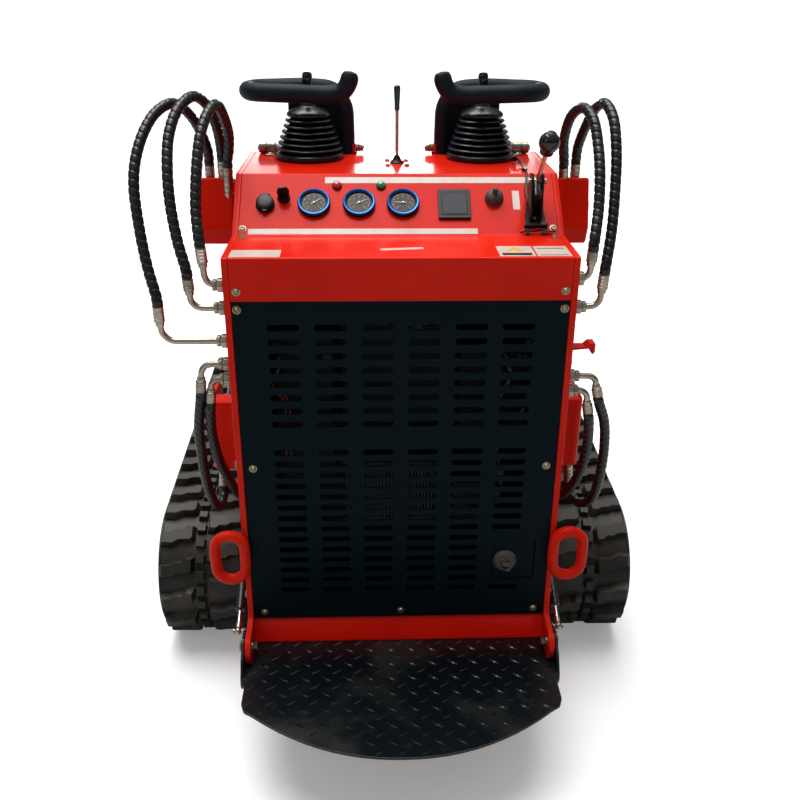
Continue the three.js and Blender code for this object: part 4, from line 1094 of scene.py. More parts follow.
def make_ball_lever():
    ball = Vector((280, 112, 139))
    foot = Vector((268, 84, 40))
    lever = Piece("ball_lever_assembly")
    base = rounded([(250, 24), (288, 24), (288, 50), (282, 84), (256, 84), (250, 50)], 3, 3)
    lever.plate(base, 0.4, 5, "Z", SATIN_BLACK, 0.8, 1, PANEL)
    for x in (256, 276):
        cheek = rounded([(28, 5), (88, 5), (104, 34), (104, 62), (94, 72), (80, 70), (58, 44), (32, 24)], 5,
                        4)
        lever.plate(cheek, x, x + 4.5, "X", SATIN_BLACK, 0.8, 1, PANEL)
    lever.add(bevelled(swept([(251, 88, 56), (286, 88, 56)], 5.2, 16), 0.8, 1, 60), ZINC, PANEL)
    lever.bar(261, 275, 52, 94, 8, 60, CYLINDER_BLACK, 3, 2, PANEL)
    lever.add(swept([(262, 36, 12), (266, 30, 14), (270, 36, 12)], 2.2, 8), ZINC, PANEL)
    rod = [foot + (ball - foot) * t for t in (0.0, 0.5, 0.93)]
    lever.add(swept(rod, 4.6, 18), COPPER, PANEL)
    along = (ball - foot).normalized()
    knob = [(9, -26), (12.5, -24), (13, -21), (11.5, -18.6), (15.5, -13.5), (19.2, -6), (20, 0),
            (19.0, 6.5), (16, 12.2), (11, 16.8), (5, 19.4), (0, 20)]
    lever.lathe(knob, 36, GLOSS_BLACK, PANEL @ turn_to(along, ball))
    lever.lathe([(0, 16), (9, 16.6), (8.6, 20.4), (6, 21.6), (0, 22)], 28, PLASTIC_BLACK,
                PANEL @ turn_to(along, ball))
    lever.done("chassis", "ball_lever", "black_plastic")

    wires = Piece("lever_wires")
    runs = [[(238, 8, 1.6), (250, 12, 2.4), (262, 10, 3), (276, 14, 3), (292, 9, 2.2), (306, 11, 1.6)],
            [(244, 3, 1.6), (256, 5, 2.6), (268, 3, 3.4), (282, 6, 2.8), (300, 3, 1.6)]]
    for run in runs:
        wires.add(swept(smooth_path(run, 26), 1.4, 10), RED_WIRE, PANEL)
    for x in (252, 284):
        wires.bar(x - 3, x + 3, -1, 16, 0.3, 4.6, SATIN_BLACK, place=PANEL)
    wires.bar(246, 292, 17, 26, 0.3, 9, PLASTIC_BLACK, 2, 2, PANEL)
    wires.done("chassis")

    trim = Piece("control_cable")
    boot_foot = Vector((252, 386, CONSOLE_HEIGHT + 9))
    end = Vector(on_panel(262, 44, 26))
    route = [boot_foot, boot_foot + Vector((6, -14, 3)), (262, 350, CONSOLE_HEIGHT + 6),
             (263, 310, CONSOLE_HEIGHT + 4), (262, 276, CONSOLE_HEIGHT + 3.4), on_panel(259, 132, 5),
             on_panel(256, 108, 7), on_panel(256, 84, 12), on_panel(258, 62, 20), end]
    trim.add(swept(smooth_path(route, 60), 2.4, 10), HOSE_BLACK)
    clip = rounded(rectangle(-6, 6, -3, 3.2), 2.5, 3)
    trim.plate(clip, -4, 4, "Y", PLASTIC_BLACK, 0.6, 1, moved(262, 300, CONSOLE_HEIGHT + 2.5))
    trim.add(bevelled(swept([boot_foot + Vector((0, 6, -2)), boot_foot + Vector((2, -8, 1))], 5, 14), 0.8,
                      1, 60), PLASTIC_BLACK)
    trim.done("chassis")


# ------------------------------------------------------------------ joysticks, hand loops, throttle
JOYSTICK = (187, 448)
BOOT_BASE = CONSOLE_HEIGHT + 0.3


def boot_profile():
    """Base flange, six soft convolutions that shrink upwards, then a sloping dome."""
    profile = [(0, 0), (72, 0), (74.5, 2.5), (74.5, 8), (73, 12), (68, 14)]
    folds = 6
    for i in range(folds):
        low = 17 + i * 11.6
        outer = 72 - i * 4.3
        inner = outer - 12
        profile += [(inner, low - 0.6), (outer - 4.5, low + 1.4), (outer - 1.2, low + 3.4),
                    (outer, low + 5.3), (outer - 1.3, low + 7.2), (outer - 5.0, low + 8.8),
                    (inner, low + 10.4)]
    profile += [(40, 87), (45, 88.6), (47, 91.5), (46, 95), (41, 99.5), (30, 104.5), (20, 108), (17, 110.5),
                (16.4, 114), (14, 117), (10, 118), (0, 118)]
    return profile


def make_joysticks():
    for side, sign in SIDES:
        at = moved(sign * JOYSTICK[0], JOYSTICK[1], BOOT_BASE)
        stick = Piece(f"{side}_joystick_boot")
        stick.lathe(boot_profile(), 64, BOOT_BLACK, at)
        stick.done("chassis", f"{side}_joystick", "boot_rubber", sharp=60)
        grip = Piece(f"{side}_joystick_grip")
        grip.lathe(rectangle(0, 6, 112, 140), 24, STEEL, at)
        shape = [(8.5, 130), (9.5, 132), (10.4, 146), (10.9, 158), (10.9, 168), (10.0, 174), (7.0, 178),
                 (0, 179)]
        grip.lathe(shape, 28, GLOSS_BLACK, at)
        grip.lathe([(11, 116), (12.5, 118), (12.5, 122), (11, 124)], 28, PLASTIC_BLACK, at)
        grip.done("chassis")


LOOP_RADIUS = 18.6
LOOP_POINTS = [(108, 511, 1159.4), (108, 511, 1215), (112, 509, 1262), (135, 506, 1293), (180, 505, 1301),
               (262, 505, 1300), (298, 489, 1300), (313, 450, 1300), (298, 411, 1300), (262, 396, 1300),
               (190, 395, 1298), (135, 394, 1297), (112, 391, 1303), (99, 388, 1320), (94, 387, 1341)]


def make_hand_loops():
    for side, sign in SIDES:
        path = smooth_path(outward(sign, LOOP_POINTS), 110)
        end = path[-1] - path[-2]

        def sleeve(share):
            rounding = max(0.0, (share - 0.972) / 0.028)
            return LOOP_RADIUS * sqrt(max(0.02, 1 - rounding ** 2))

        loop = Piece(f"{side}_hand_loop_foam")
        loop.add(swept(path + [path[-1] + end.normalized() * 2.5], sleeve, 28), FOAM)
        loop.done("chassis", f"{side}_hand_loop", "foam")
        stay = Piece(f"{side}_hand_loop_stay")
        outline = rounded(rectangle(112, 236, 1159.6, 1290), [4, 14, 22, 22], 5)
        outline = [(sign * x, z) for x, z in outline]
        stay.plate(outline, 527, 531, "Y", SATIN_BLACK, 0.8)
        flange = [(sign * x, y) for x, y in ((84, 502), (132, 502), (132, 526), (84, 526))]
        stay.plate(rounded(flange, 5), 1159.4, 1164, "Z", SATIN_BLACK, 0.8)
        stay.done("chassis")
        stand(f"{side}_loop_bolts", hex_bolt(8, 6), [((sign * 76, 512, 1164.5), UP, RIGHT)], ZINC,
              "chassis")
        stud = Piece(f"{side}_loop_clamp")
        at = inboard(sign, 92, 506, 1173)
        stud.lathe([(5, 0), (5, 22), (4, 24)], 20, ZINC, at)
        stud.nut(9.5, 4, 12, 1, ZINC, at)
        stud.lathe(rectangle(0, 11, 12, 14), 24, ZINC, at)
        stud.nut(7.5, 14, 20, 0.8, ZINC, at)
        stud.bar(-9, 9, -12, 8, -2, 4, RED, 1.2, 1, at)
        stud.done("chassis")


def make_throttle():
    at = moved(2, 388, CONSOLE_HEIGHT + 0.3)
    lever = Piece("throttle_lever_assembly")
    lever.lathe([(15, 0), (15, 2), (13, 4), (9, 7), (6.4, 13), (5.2, 16), (0, 17)], 28, PLASTIC_BLACK, at)
    shank = smooth_path([(0, 0, 8), (0, 1.3, 44), (0, 3.2, 84), (0, 4.4, 126)], 20)
    lever.add(swept(shank, 3.3, 16), COPPER, at)
    grip = smooth_path([(0, 4.0, 112), (0, 5.0, 134), (0, 6, 158)], 24)

    def bulb(share):
        rounding = max(0.0, (share - 0.86) / 0.14)
        return (5.0 + 2.2 * share) * sqrt(max(0.03, 1 - rounding ** 2))

    lever.add(swept(grip, bulb, 20), GLOSS_BLACK, at)
    lever.add(bevelled(turned([(4.4, 107), (5.2, 109), (5.4, 114)], 20), 0.3, 1, 60), BROWN_SLEEVE,
              at @ moved(0, 4, 0))
    lever.done("chassis", "throttle_lever", "black_plastic")
    gate = Piece("throttle_gate")
    slot_outline = rounded(rectangle(-26, 30, 352, 424), 8, 5)
    gate.plate(slot_outline, CONSOLE_HEIGHT, CONSOLE_HEIGHT + 0.35, "Z", RED, 0.1)
    gate.done("chassis")
    spots = [((x, y, CONSOLE_HEIGHT + 0.3), UP, RIGHT)
             for x, y in ((-18, 360), (22, 360), (-18, 416), (22, 416))]
    stand("throttle_gate_screws", cap_screw(4.6, 3.6, 2.0), spots, ZINC, "chassis")


make_console()
make_panel()
make_ball_lever()
make_joysticks()
make_hand_loops()
make_throttle()

# ------------------------------------------------------------------ grille
GRILLE_SLOTS = dict(columns=6, pitch=88, width=61, height=13)
GRILLE_BLOCKS = ((8, 926, 28.5), (14, 664, 25.3))
GRILLE_WINDOW = dict(x=240, z=405, width=90, height=100)


def perforated_sheet():
    """A sheet from a flat outline and its holes: the loops are filled, then thickened."""
    r = Recipe("perforated_sheet", thickness="float")
    loops = r.node("GeometryNodeMeshToCurve", None, {"Mesh": r.shape})
    face = r.node("GeometryNodeFillCurve", {"mode": "NGONS"}, {"Curve": loops})
    skin = r.node("GeometryNodeFlipFaces", None, {"Mesh": face})
    drop = r.node("ShaderNodeCombineXYZ", None, {"Z": r.input("thickness")})
    raised = r.node("GeometryNodeExtrudeMesh", {"mode": "FACES"},
                    {"Mesh": face, "Offset": drop, "Offset Scale": 1.0, "Individual": False})
    whole = r.node("GeometryNodeJoinGeometry", None, {"Geometry": [raised, skin]})
    return r.close(r.node("GeometryNodeMergeByDistance", None, {"Geometry": whole, "Distance": 0.001}))


def stadium(x, z, width, height, count=5):
    radius = height / 2
    ends = [arc((x + width / 2 - radius, z), radius, -90, 90, count),
            arc((x - width / 2 + radius, z), radius, 90, 270, count)]
    return ends[0] + ends[1]


def make_grille():
    window = GRILLE_WINDOW
    size = GRILLE_SLOTS
    loops = [rounded(rectangle(-INSIDE, INSIDE, GRILLE_LOW.z, GRILLE_HIGH.z), 5, 3)]
    loops.append(rounded([(window["x"] + a * window["width"] / 2, window["z"] + b * window["height"] / 2)
                          for a, b in ((-1, -1), (1, -1), (1, 1), (-1, 1))], 6, 4))
    for rows, top, pitch in GRILLE_BLOCKS:
        for row in range(rows):
            for column in range(size["columns"]):
                x = (column - (size["columns"] - 1) / 2) * size["pitch"]
                z = top - row * pitch
                if (abs(x - window["x"]) > (window["width"] + size["width"]) / 2
                        or abs(z - window["z"]) > (window["height"] + size["height"]) / 2 + 4):
                    loops.append(stadium(x, z, size["width"], size["height"]))
    points, edges = [], []
    for loop in loops:
        first = len(points)
        points += [(x, z, 0) for x, z in loop]
        edges += [(first + i, first + (i + 1) % len(loop)) for i in range(len(loop))]
    start = point_mesh("grille_outline", points, edges)
    stand_up = moved(0, GRILLE_HIGH.y, 0) @ spun(90, "X")
    sheet = perforated_sheet().make("rear_grille_sheet", start, thickness=SHEET, finish=GRILLE_BLACK)
    sheet.data.transform(LAYOUT @ stand_up @ TO_LAYOUT)
    tidy = bmesh.new()
    tidy.from_mesh(sheet.data)
    bmesh.ops.recalc_face_normals(tidy, faces=tidy.faces)
    tidy.to_mesh(sheet.data)
    tidy.free()
    settle(sheet, "chassis", "rear_grille")
    spots = [((x, GRILLE_LOW.y, z), BACK, RIGHT) for x, z in ((-303, 962), (303, 962), (-293, 630),
                                                              (293, 630), (-289, 278), (3, 278),
                                                              (290, 278))]
    stand("grille_screws", cap_screw(6.2, 4.4, 2.8), spots, YELLOW_ZINC, "chassis")

    switch = Piece("battery_isolator_switch")
    at = moved(222, GRILLE_HIGH.y + 0.4, 401) @ spun(90, "X")
    plate = rounded(rectangle(-26, 62, -51, 59), 5, 3)
    switch.plate(plate, -4, 0, "Z", GRILLE_BLACK, 0.5, 1, at)
    switch.lathe([(25, 0), (25, 3), (22, 5), (20, 11), (14, 13)], 36, CAP_GREY, at)
    handle = rounded([(-6, -17), (6, -17), (7.5, 12), (4, 19), (-4, 19), (-7.5, 12)], 3, 4)
    key_turn = spun(205)
    switch.plate(handle, 12, 19, "Z", CAP_GREY, 2, 2, at @ key_turn)
    switch.lathe([(10, 12), (9, 20), (0, 21)], 24, GLOSS_BLACK, at)
    for angle in (45, 225):
        spot = spun(angle) @ moved(18.5, 0, 4)
        switch.add(cap_screw(2.6, 2.4, 1.2), ZINC, at @ spot)
    switch.done("chassis", "battery_isolator", "black_plastic")


def make_crossbar():
    low, high = CROSSBAR_LOW, CROSSBAR_HIGH
    wall = 6
    lean = 8
    outline = [(-lean, low.z), (high.y, low.z), (high.y, low.z + wall), (wall - lean, low.z + wall),
               (wall + lean, high.z - wall), (high.y, high.z - wall), (high.y, high.z), (lean, high.z)]
    channel = Piece("rear_crossbar_channel")
    # The crossbar takes the brighter red copy: painted light on its face.
    channel.plate(rounded(outline, [8, 0, 0, 3, 3, 0, 0, 8], 4), -INSIDE, INSIDE, "X", RED_PAINTED_LIGHT, 0.8, 2)
    channel.done("chassis", "rear_crossbar", "red_paint")


# ------------------------------------------------------------------ side plates, housings, fittings
def elbow_and_ferrule(piece, hose, sign):
    """The bent steel end of a hose: nuts at the plate and at the hose, the tube, a crimped ferrule."""
    path = smooth_path(outward(sign, hose["elbow"]), 34)
    piece.add(swept(path, ELBOW_RADIUS, 16), ZINC)
    for start, length, radius in ((326, 11, 14), (338, 8, 11.5)):
        if start + length < hose["elbow"][2][0]:
            piece.nut(radius, 0, length, 1.2, ZINC, outboard(sign, start, *hose["elbow"][0][1:]))
    ferrule(piece, *outward(sign, hose["start"]))


def ferrule(piece, foot, mouth):
    """A crimped sleeve that holds the hose, with the nut it turns on."""
    along = mouth - foot
    reach = along.length
    r = FERRULE_RADIUS + 0.8
    rings = [(r * 0.72, 0), (r * 0.8, 1.2), (r * 0.8, 7), (r * 0.96, 8.2)]
    rows = 4
    step = (reach - 12) / rows
    for i in range(rows):
        low = 9 + step * i
        rings += [(r, low + step * 0.12), (r, low + step * 0.62), (r * 0.93, low + step * 0.74),
                  (r * 0.93, low + step * 0.92)]
    rings += [(r, reach - 2.4), (r * 0.98, reach - 0.6), (r * 0.8, reach - 0.3)]
    piece.lathe(rings, 28, ZINC, turn_to(along, foot))


def side_profile():
    py, pz = PLATFORM_PIVOT
    lobe = arc((py, pz), 36, 270, 120, 14)
    nose = [(CONSOLE_BACK, CONSOLE_HEIGHT), (CONSOLE_BACK, HOOD_SILL - GAP), (BODY_FRONT, HOOD_SILL - GAP),
            (BODY_FRONT, 420), (1240, 330), (1240, BODY_BOTTOM), (py + 30, BODY_BOTTOM)]
    top = [(0, pz + 36), (0, LEDGE_HEIGHT), (LEDGE_DEPTH, LEDGE_HEIGHT),
           (LEDGE_DEPTH + PANEL_DEPTH, CONSOLE_HEIGHT)]
    points = nose + lobe + top
    radii = [10, 14, 6, 16, 12, 8, 6] + [0] * len(lobe) + [26, 6, 9, 8]
    return rounded(points, radii, 4)


RING_WIDE, RING_HIGH = 82, 128


def make_side(side, sign):
    sheet = Piece(f"{side}_side_sheet")
    sheet.plate(side_profile(), sign * (HALF - PLATE), sign * HALF, "X", RED, 1.4, 2)
    sheet.done("chassis", f"{side}_side_plate", "red_paint")

    by, bz = LIFT_BASE
    housing = Piece(f"{side}_lift_housing")
    outer, inner, skin = HOUSING_OUT, HALF - 1, 8
    plan = rounded([(inner, by - 90), (outer, by - 90), (outer, by + 60), (outer - skin, by + 60),
                    (outer - skin, by - 82), (inner, by - 82)], [0, 14, 0, 0, 8, 0], 5)
    plan = [(sign * x, y) for x, y in plan]
    housing.plate(plan, bz - 85, bz + 80, "Z", RED, 2.0, 2)
    for top, bottom, reach in ((bz + 80, bz + 72, -45), (bz - 77, bz - 85, -20)):
        shelf = rounded(rectangle(inner, outer - 3, by - 86, by + reach), [0, 10, 6, 0], 4)
        shelf = [(sign * x, y) for x, y in shelf]
        housing.plate(shelf, bottom, top, "Z", RED)
    boss_face = BOOM_INSIDE - GAP - HALF - 6
    boss = [(47, 0), (47, 4), (43, 6), (43, boss_face)]
    housing.lathe(boss, 40, RED, outboard(sign, HALF, *BOOM_PIVOT))
    eye = [(20, 0), (20, 5), (16, 7)]
    housing.lathe(eye, 28, ZINC, outboard(sign, outer, by, bz))
    if side == "right":
        bracket = rounded([(322, 878), (352, 878), (360, 886), (372, 886), (372, 868), (366, 862),
                           (366, 876), (322, 872)], 2, 3)
        housing.plate(bracket, 18, 44, "Y", RED, 0.6)
    housing.done("chassis", f"{side}_side_plate", "red_paint")

    fittings = Piece(f"{side}_hose_fittings")
    for hose in HOSES:
        if hose["side"] == side:
            elbow_and_ferrule(fittings, hose, sign)
            if not hose["boom"]:
                end, beyond = outward(sign, hose["end"])
                ferrule(fittings, beyond, end)
    fittings.done("chassis", f"{side}_side_plate")
    boom_ends = Piece(f"{side}_boom_hose_ends")
    for hose in HOSES:
        if hose["side"] == side and hose["boom"]:
            end, beyond = outward(sign, hose["end"])
            ferrule(boom_ends, beyond, end)
            away = (beyond - end).normalized()
            boom_ends.nut(12, -4, 14, 1.2, ZINC, turn_to(away, beyond))
    boom_ends.done("boom", f"{side}_boom_arm")

    bolts = [side_spot(sign, HALF, y, z) for y, z in ((40, 300), (40, 620), (40, 840), (1040, 480),
                                                      (1040, 620), (1040, 800), (700, 250), (420, 250),
                                                      (900, 250), (600, 840), (800, 840), (480, 1040),
                                                      (330, 900))]
    stand(f"{side}_plate_bolts", hex_bolt(10, 7), bolts, ZINC, "chassis")

    centre = Vector((sign * (HALF + 25), -11.3, 429))
    reach, rise = (RING_WIDE - 22) / 2, (RING_HIGH - RING_WIDE) / 2
    loop = arc((0, rise), reach, 0, 180, 12) + arc((0, -rise), reach, 180, 360, 12)
    path = smooth_path([centre + Vector((x, 0, z)) for x, z in loop], 72, closed=True)
    ring = Piece(f"{side}_tie_ring")
    ring.add(swept(path, 11.2, 20, closed=True), RED)
    weld = swept([centre + Vector((-sign * 33, 4, -30)), centre + Vector((-sign * 33, 4, 30))], 6, 12)
    ring.add(bevelled(weld, 1, 1, 60), RED)
    ring.done("chassis", f"{side}_tie_down_ring", "red_paint")


# ------------------------------------------------------------------ standing platform
DECK_TOP, DECK_THICK = 205, 6
DECK_REAR = -338
DECK_CORNER = (296, -224)
DECK_SWEEP = 2.15


def deck_edge(x):
    """Y of the deck's curved rear edge."""
    wide, corner = DECK_CORNER
    return DECK_REAR + (corner - DECK_REAR) * (abs(x) / wide) ** DECK_SWEEP


def make_platform():
    py, pz = PLATFORM_PIVOT
    top, thick = DECK_TOP, DECK_THICK
    lobe_rear = py - 44
    wide = HALF + 2
    half = [(-26, -3), (-311, -3), (-311, lobe_rear), (-316, lobe_rear), (-321, -112), (-321, -192),
            (-314, -212)]
    across = [DECK_CORNER[0] - DECK_CORNER[0] * i / 11 for i in range(12)]
    rim = [(-x, deck_edge(x)) for x in across]
    left = half + rim
    outline = left + [(-x, y) for x, y in left[-2::-1]]
    outline = outline[1:-1]
    deck = Piece("platform_deck")
    radii = [0] * len(outline)
    for i, (x, y) in enumerate(outline):
        if (abs(x), y) in ((321, -112), (321, -192), (314, -212), (316, lobe_rear)):
            radii[i] = 10
    deck.plate(rounded(outline, radii, 3), top - thick, top, "Z", TREAD_BLACK, 1, 2)
    for x in (-200, 0, 200):
        deck.bar(x - 4, x + 4, -290 if x == 0 else -262, -20, top - thick - 24, top - thick + 0.5,
                 TREAD_BLACK)
    deck.done("platform", "standing_platform", "tread_plate")

    ears = Piece("platform_ears")
    sy, sz = SPRING_STUD
    for sign in (-1, 1):
        shape = [*arc((py, pz), 31, 40, 150, 6), (py - 46, pz + 2),
                 *arc((py - 44, pz - 42), 26, 150, 260, 6), (py + 10, pz - 60), (py + 34, pz - 36),
                 *arc((sy, sz), 15, 270, 430, 6)]
        ears.plate(rounded(shape, 4, 2), sign * wide, sign * (wide + 5.5), "X", GLOSS_BLACK, 1, 2)
        foot = rounded(rectangle(-118, -20, 180, 200), 4, 3)
        ears.plate(foot, sign * (HALF - 26), sign * (wide + 2), "X", SATIN_BLACK)
        pin = turned([(8, 0), (8, 4), (12, 4.2), (12, 9.5), (10.5, 11)], 6)
        ears.add(pin, ZINC, outboard(sign, wide + 1, py, pz))
    ears.done("platform")

    rows = []
    pitch = 22
    for row in range(16):
        for column in range(-15, 16):
            if (row + column) % 2:
                continue
            x = column * pitch
            y = -14 - row * pitch
            if y < deck_edge(x) + 12 or abs(x) > (305 if y > lobe_rear - 8 else 312):
                continue
            rows.append(((x, y, top), UP, (1, -0.75 if row % 2 else 0.75, 0)))
    dash = [(-14, 0), (-8, -2.7), (0, -3.3), (8, -2.7), (14, 0), (8, 2.7), (0, 3.3), (-8, 2.7)]
    form = bmesh.new()
    base = [form.verts.new((x, y, -0.4)) for x, y in dash]
    crest = [form.verts.new((x * 0.70, y * 0.34, 2.3)) for x, y in dash]
    for i in range(len(dash)):
        form.faces.new((base[i - 1], base[i], crest[i], crest[i - 1]))
    form.faces.new(crest)
    form.faces.new(base[::-1])
    stand("platform_tread", form, rows, WORN_TREAD, "platform")

    chassis_bolts = [((sign * (HALF - PLATE), py, pz), (-sign, 0, 0), (0, 1, 0)) for sign in (-1, 1)]
    stand("platform_pivot_bolts", hex_bolt(11, 9, 2.4), chassis_bolts, ZINC, "chassis")
    for side, sign in SIDES:
        spring = Piece(f"{side}_spring_tube")
        base = Vector((sign * SPRING_PLANE, *SPRING_BASE))
        stud = Vector((sign * SPRING_PLANE, *SPRING_STUD))
        along = (stud - base).normalized()
        whole = (stud - base).length
        at = turn_to(along, base)
        spring.lathe([(0, 2), (6.5, 3), (6.5, 22), (9.6, 26), (9.6, 30)], 28, ZINC, at)
        spring.lathe([(9.6, 29), (10.8, 31), (10.8, 224), (10, 227), (5, 228)], 32, CYLINDER_BLACK, at)
        spring.lathe([(6, -6), (7.2, -4), (7.2, 4), (6, 6)], 24, ZINC, turn_to((1, 0, 0), base))
        spring.lathe(rectangle(0, 5, 0, 24), 20, ZINC,
                     turn_to((-sign, 0, 0), base + Vector((sign * 1, 0, 0))))
        spring.done(f"{side}_spring_tube", f"{side}_gas_spring_barrel", "cylinder_paint")
        rod = Piece(f"{side}_spring_rod")
        rod.lathe(rectangle(0, 4.0, 110, whole - 13), 24, CHROME, at)
        rod.lathe([(5.4, whole - 20), (6.0, whole - 18), (6.0, whole - 7), (0, whole - 5)], 24, ZINC, at)
        rod.lathe([(0, -7), (5, -6.4), (7.4, -3.4), (8, 0), (7.4, 3.4), (5, 6.4), (0, 7)], 24, ZINC,
                  turn_to((1, 0, 0), stud))
        rod.done(f"{side}_spring_rod", f"{side}_gas_spring_rod", "chrome_rod")
        pin = Piece(f"{side}_spring_stud")
        pin.lathe([(3.6, 0), (3.6, 18), (6, 18), (6, 21)], 20, ZINC,
                  turn_to((sign, 0, 0), stud - Vector((sign * 10, 0, 0))))
        pin.nut(7, -16, -11, 0.8, ZINC, turn_to((sign, 0, 0), stud))
        pin.done("platform")


make_grille()
make_crossbar()
for side, sign in SIDES:
    make_side(side, sign)
make_platform()

# ------------------------------------------------------------------ tracks
TRACK_X = (TRACK_LOW.x + TRACK_HIGH.x) / 2
SHOE = TRACK_HIGH.x - TRACK_LOW.x
LUG = 20
BELT = 28
LUG_PITCH = 72
SPROCKET_TEETH = 13
WHEELS = ((1020, 94, 94), (1165, 207, 180), (355, 172, 172))     # y, z and radius over the lugs


def belt_line(inset, step=9.0):
    """Points round the arcs of the three wheels, at most a step apart along each arc."""
    wheels = [(y, z, r - inset) for y, z, r in WHEELS]
    leave = []
    for i, (y, z, r) in enumerate(wheels):
        ny, nz, nr = wheels[(i + 1) % 3]
        dy, dz = ny - y, nz - z
        leave.append(atan2(dz, dy) - pi / 2 + asin((r - nr) / hypot(dy, dz)))
    outline = []
    for i, (y, z, r) in enumerate(wheels):
        first, last = leave[i - 1], leave[i]
        while last < first:
            last += 2 * pi
        count = max(2, ceil((last - first) * r / step))
        for k in range(count + 1):
            angle = first + (last - first) * k / count
            outline.append(Vector((y + r * cos(angle), z + r * sin(angle))))
    return outline


def stations(outline, count, shift=0.0):
    """Evenly spaced places round a closed outline, with the outward direction at each."""
    total = len(outline)
    lengths = [(outline[(i + 1) % total] - outline[i]).length for i in range(total)]
    girth = sum(lengths)
    found = []
    for i in range(count):
        left = ((i + shift) / count % 1.0) * girth
        k = 0
        while left > lengths[k]:
            left -= lengths[k]
            k += 1
        a, b = outline[k], outline[(k + 1) % total]
        along = (b - a).normalized()
        found.append((a + along * left, Vector((along.y, -along.x)), along))
    return found


def lug_form(outline, height, draft=0.86):
    """A rubber block over an outline in (across, along), with sloping sides and a worn crown."""
    form = bmesh.new()
    middle = Vector((sum(p[0] for p in outline) / len(outline), sum(p[1] for p in outline) / len(outline)))
    layers = []
    for share, level in ((1.05, -3.0), (1.0, 2.0), (draft + 0.03, height - 2.2), (draft - 0.02, height)):
        layers.append([form.verts.new((*(middle + (Vector(p) - middle) * share), level)) for p in outline])
    for low, high in zip(layers, layers[1:]):
        for i in range(len(outline)):
            j = (i + 1) % len(outline)
            form.faces.new((low[i], low[j], high[j], high[i]))
    form.faces.new(layers[0][::-1])
    form.faces.new(layers[-1])
    return form


def make_tracks():
    outer = belt_line(LUG)
    count = round(sum((b - a).length for a, b in zip(outer, outer[1:] + outer[:1])) / LUG_PITCH)
    inner = belt_line(LUG + BELT)
    half = SHOE / 2
    # Outlines of the blocks in (across from the middle, along the belt)
    shoulder = [(-97, -21), (-70, -23), (-52, -14), (-20, -14), (-14, -6), (-14, 25), (-30, 27), (-40, 18),
                (-62, 18), (-72, 10), (-97, 10)]
    shoulder_b = [(97, 20), (70, 22), (52, 12), (22, 12), (15, 5), (15, -26), (30, -28), (42, -18),
                  (62, -18), (74, -10), (97, -10)]
    button = [(-11, -10), (11, -12), (12, 9), (-10, 11)]
    for side, sign in SIDES:
        centre = sign * TRACK_X
        belt = Piece(f"{side}_track_belt")
        form = bmesh.new()
        rows = []
        for line in (outer, inner):
            rows.append([[form.verts.new((centre + x, p.x, p.y)) for p in line] for x in (-half, half)])
        for loops in ((rows[0][0], rows[0][1]), (rows[1][1], rows[1][0])):
            total = len(loops[0])
            for i in range(total):
                j = (i + 1) % total
                form.faces.new((loops[0][i], loops[0][j], loops[1][j], loops[1][i]))
        for k in (0, 1):
            bridge = [form.edges.get((loop[i], loop[(i + 1) % len(loop)]))
                      for loop in (rows[0][k], rows[1][k]) for i in range(len(loop))]
            bmesh.ops.bridge_loops(form, edges=bridge)
        belt.add(form, TRACK_BLACK)
        for edge in (-1, 1):
            rib = [Vector((centre + edge * (half - 3), p.x, p.y)) for p in belt_line(LUG + 1.5)]
            belt.add(swept(rib, 4.0, 6, closed=True), TRACK_BLACK)
        belt.done("chassis", f"{side}_track", "track_rubber", sharp=30)
        for name, outline, shift, height in (
                ("outer_blocks", shoulder, 0.0, LUG), ("inner_blocks", shoulder_b, 0.5, LUG),
                ("centre_blocks", button, 0.22, LUG - 5), ("centre_blocks_between", button, 0.72, LUG - 5)):
            spots = [((centre, p.x, p.y), (0, out.x, out.y), (sign, 0, 0))
                     for p, out, _ in stations(outer, count, shift)]
            stand(f"{side}_track_{name}", lug_form(outline, height), spots, TRACK_BLACK, "chassis")
        guides = [((centre, p.x, p.y), (0, -o.x, -o.y), (1, 0, 0))
                  for p, o, _ in stations(inner, count * 2)]
        tooth = bevelled(prism(rectangle(-9, 9, -13, 13), -1, 7, "Z"), 2, 1, 60)
        stand(f"{side}_track_links", tooth, guides, TRACK_BLACK, "chassis")


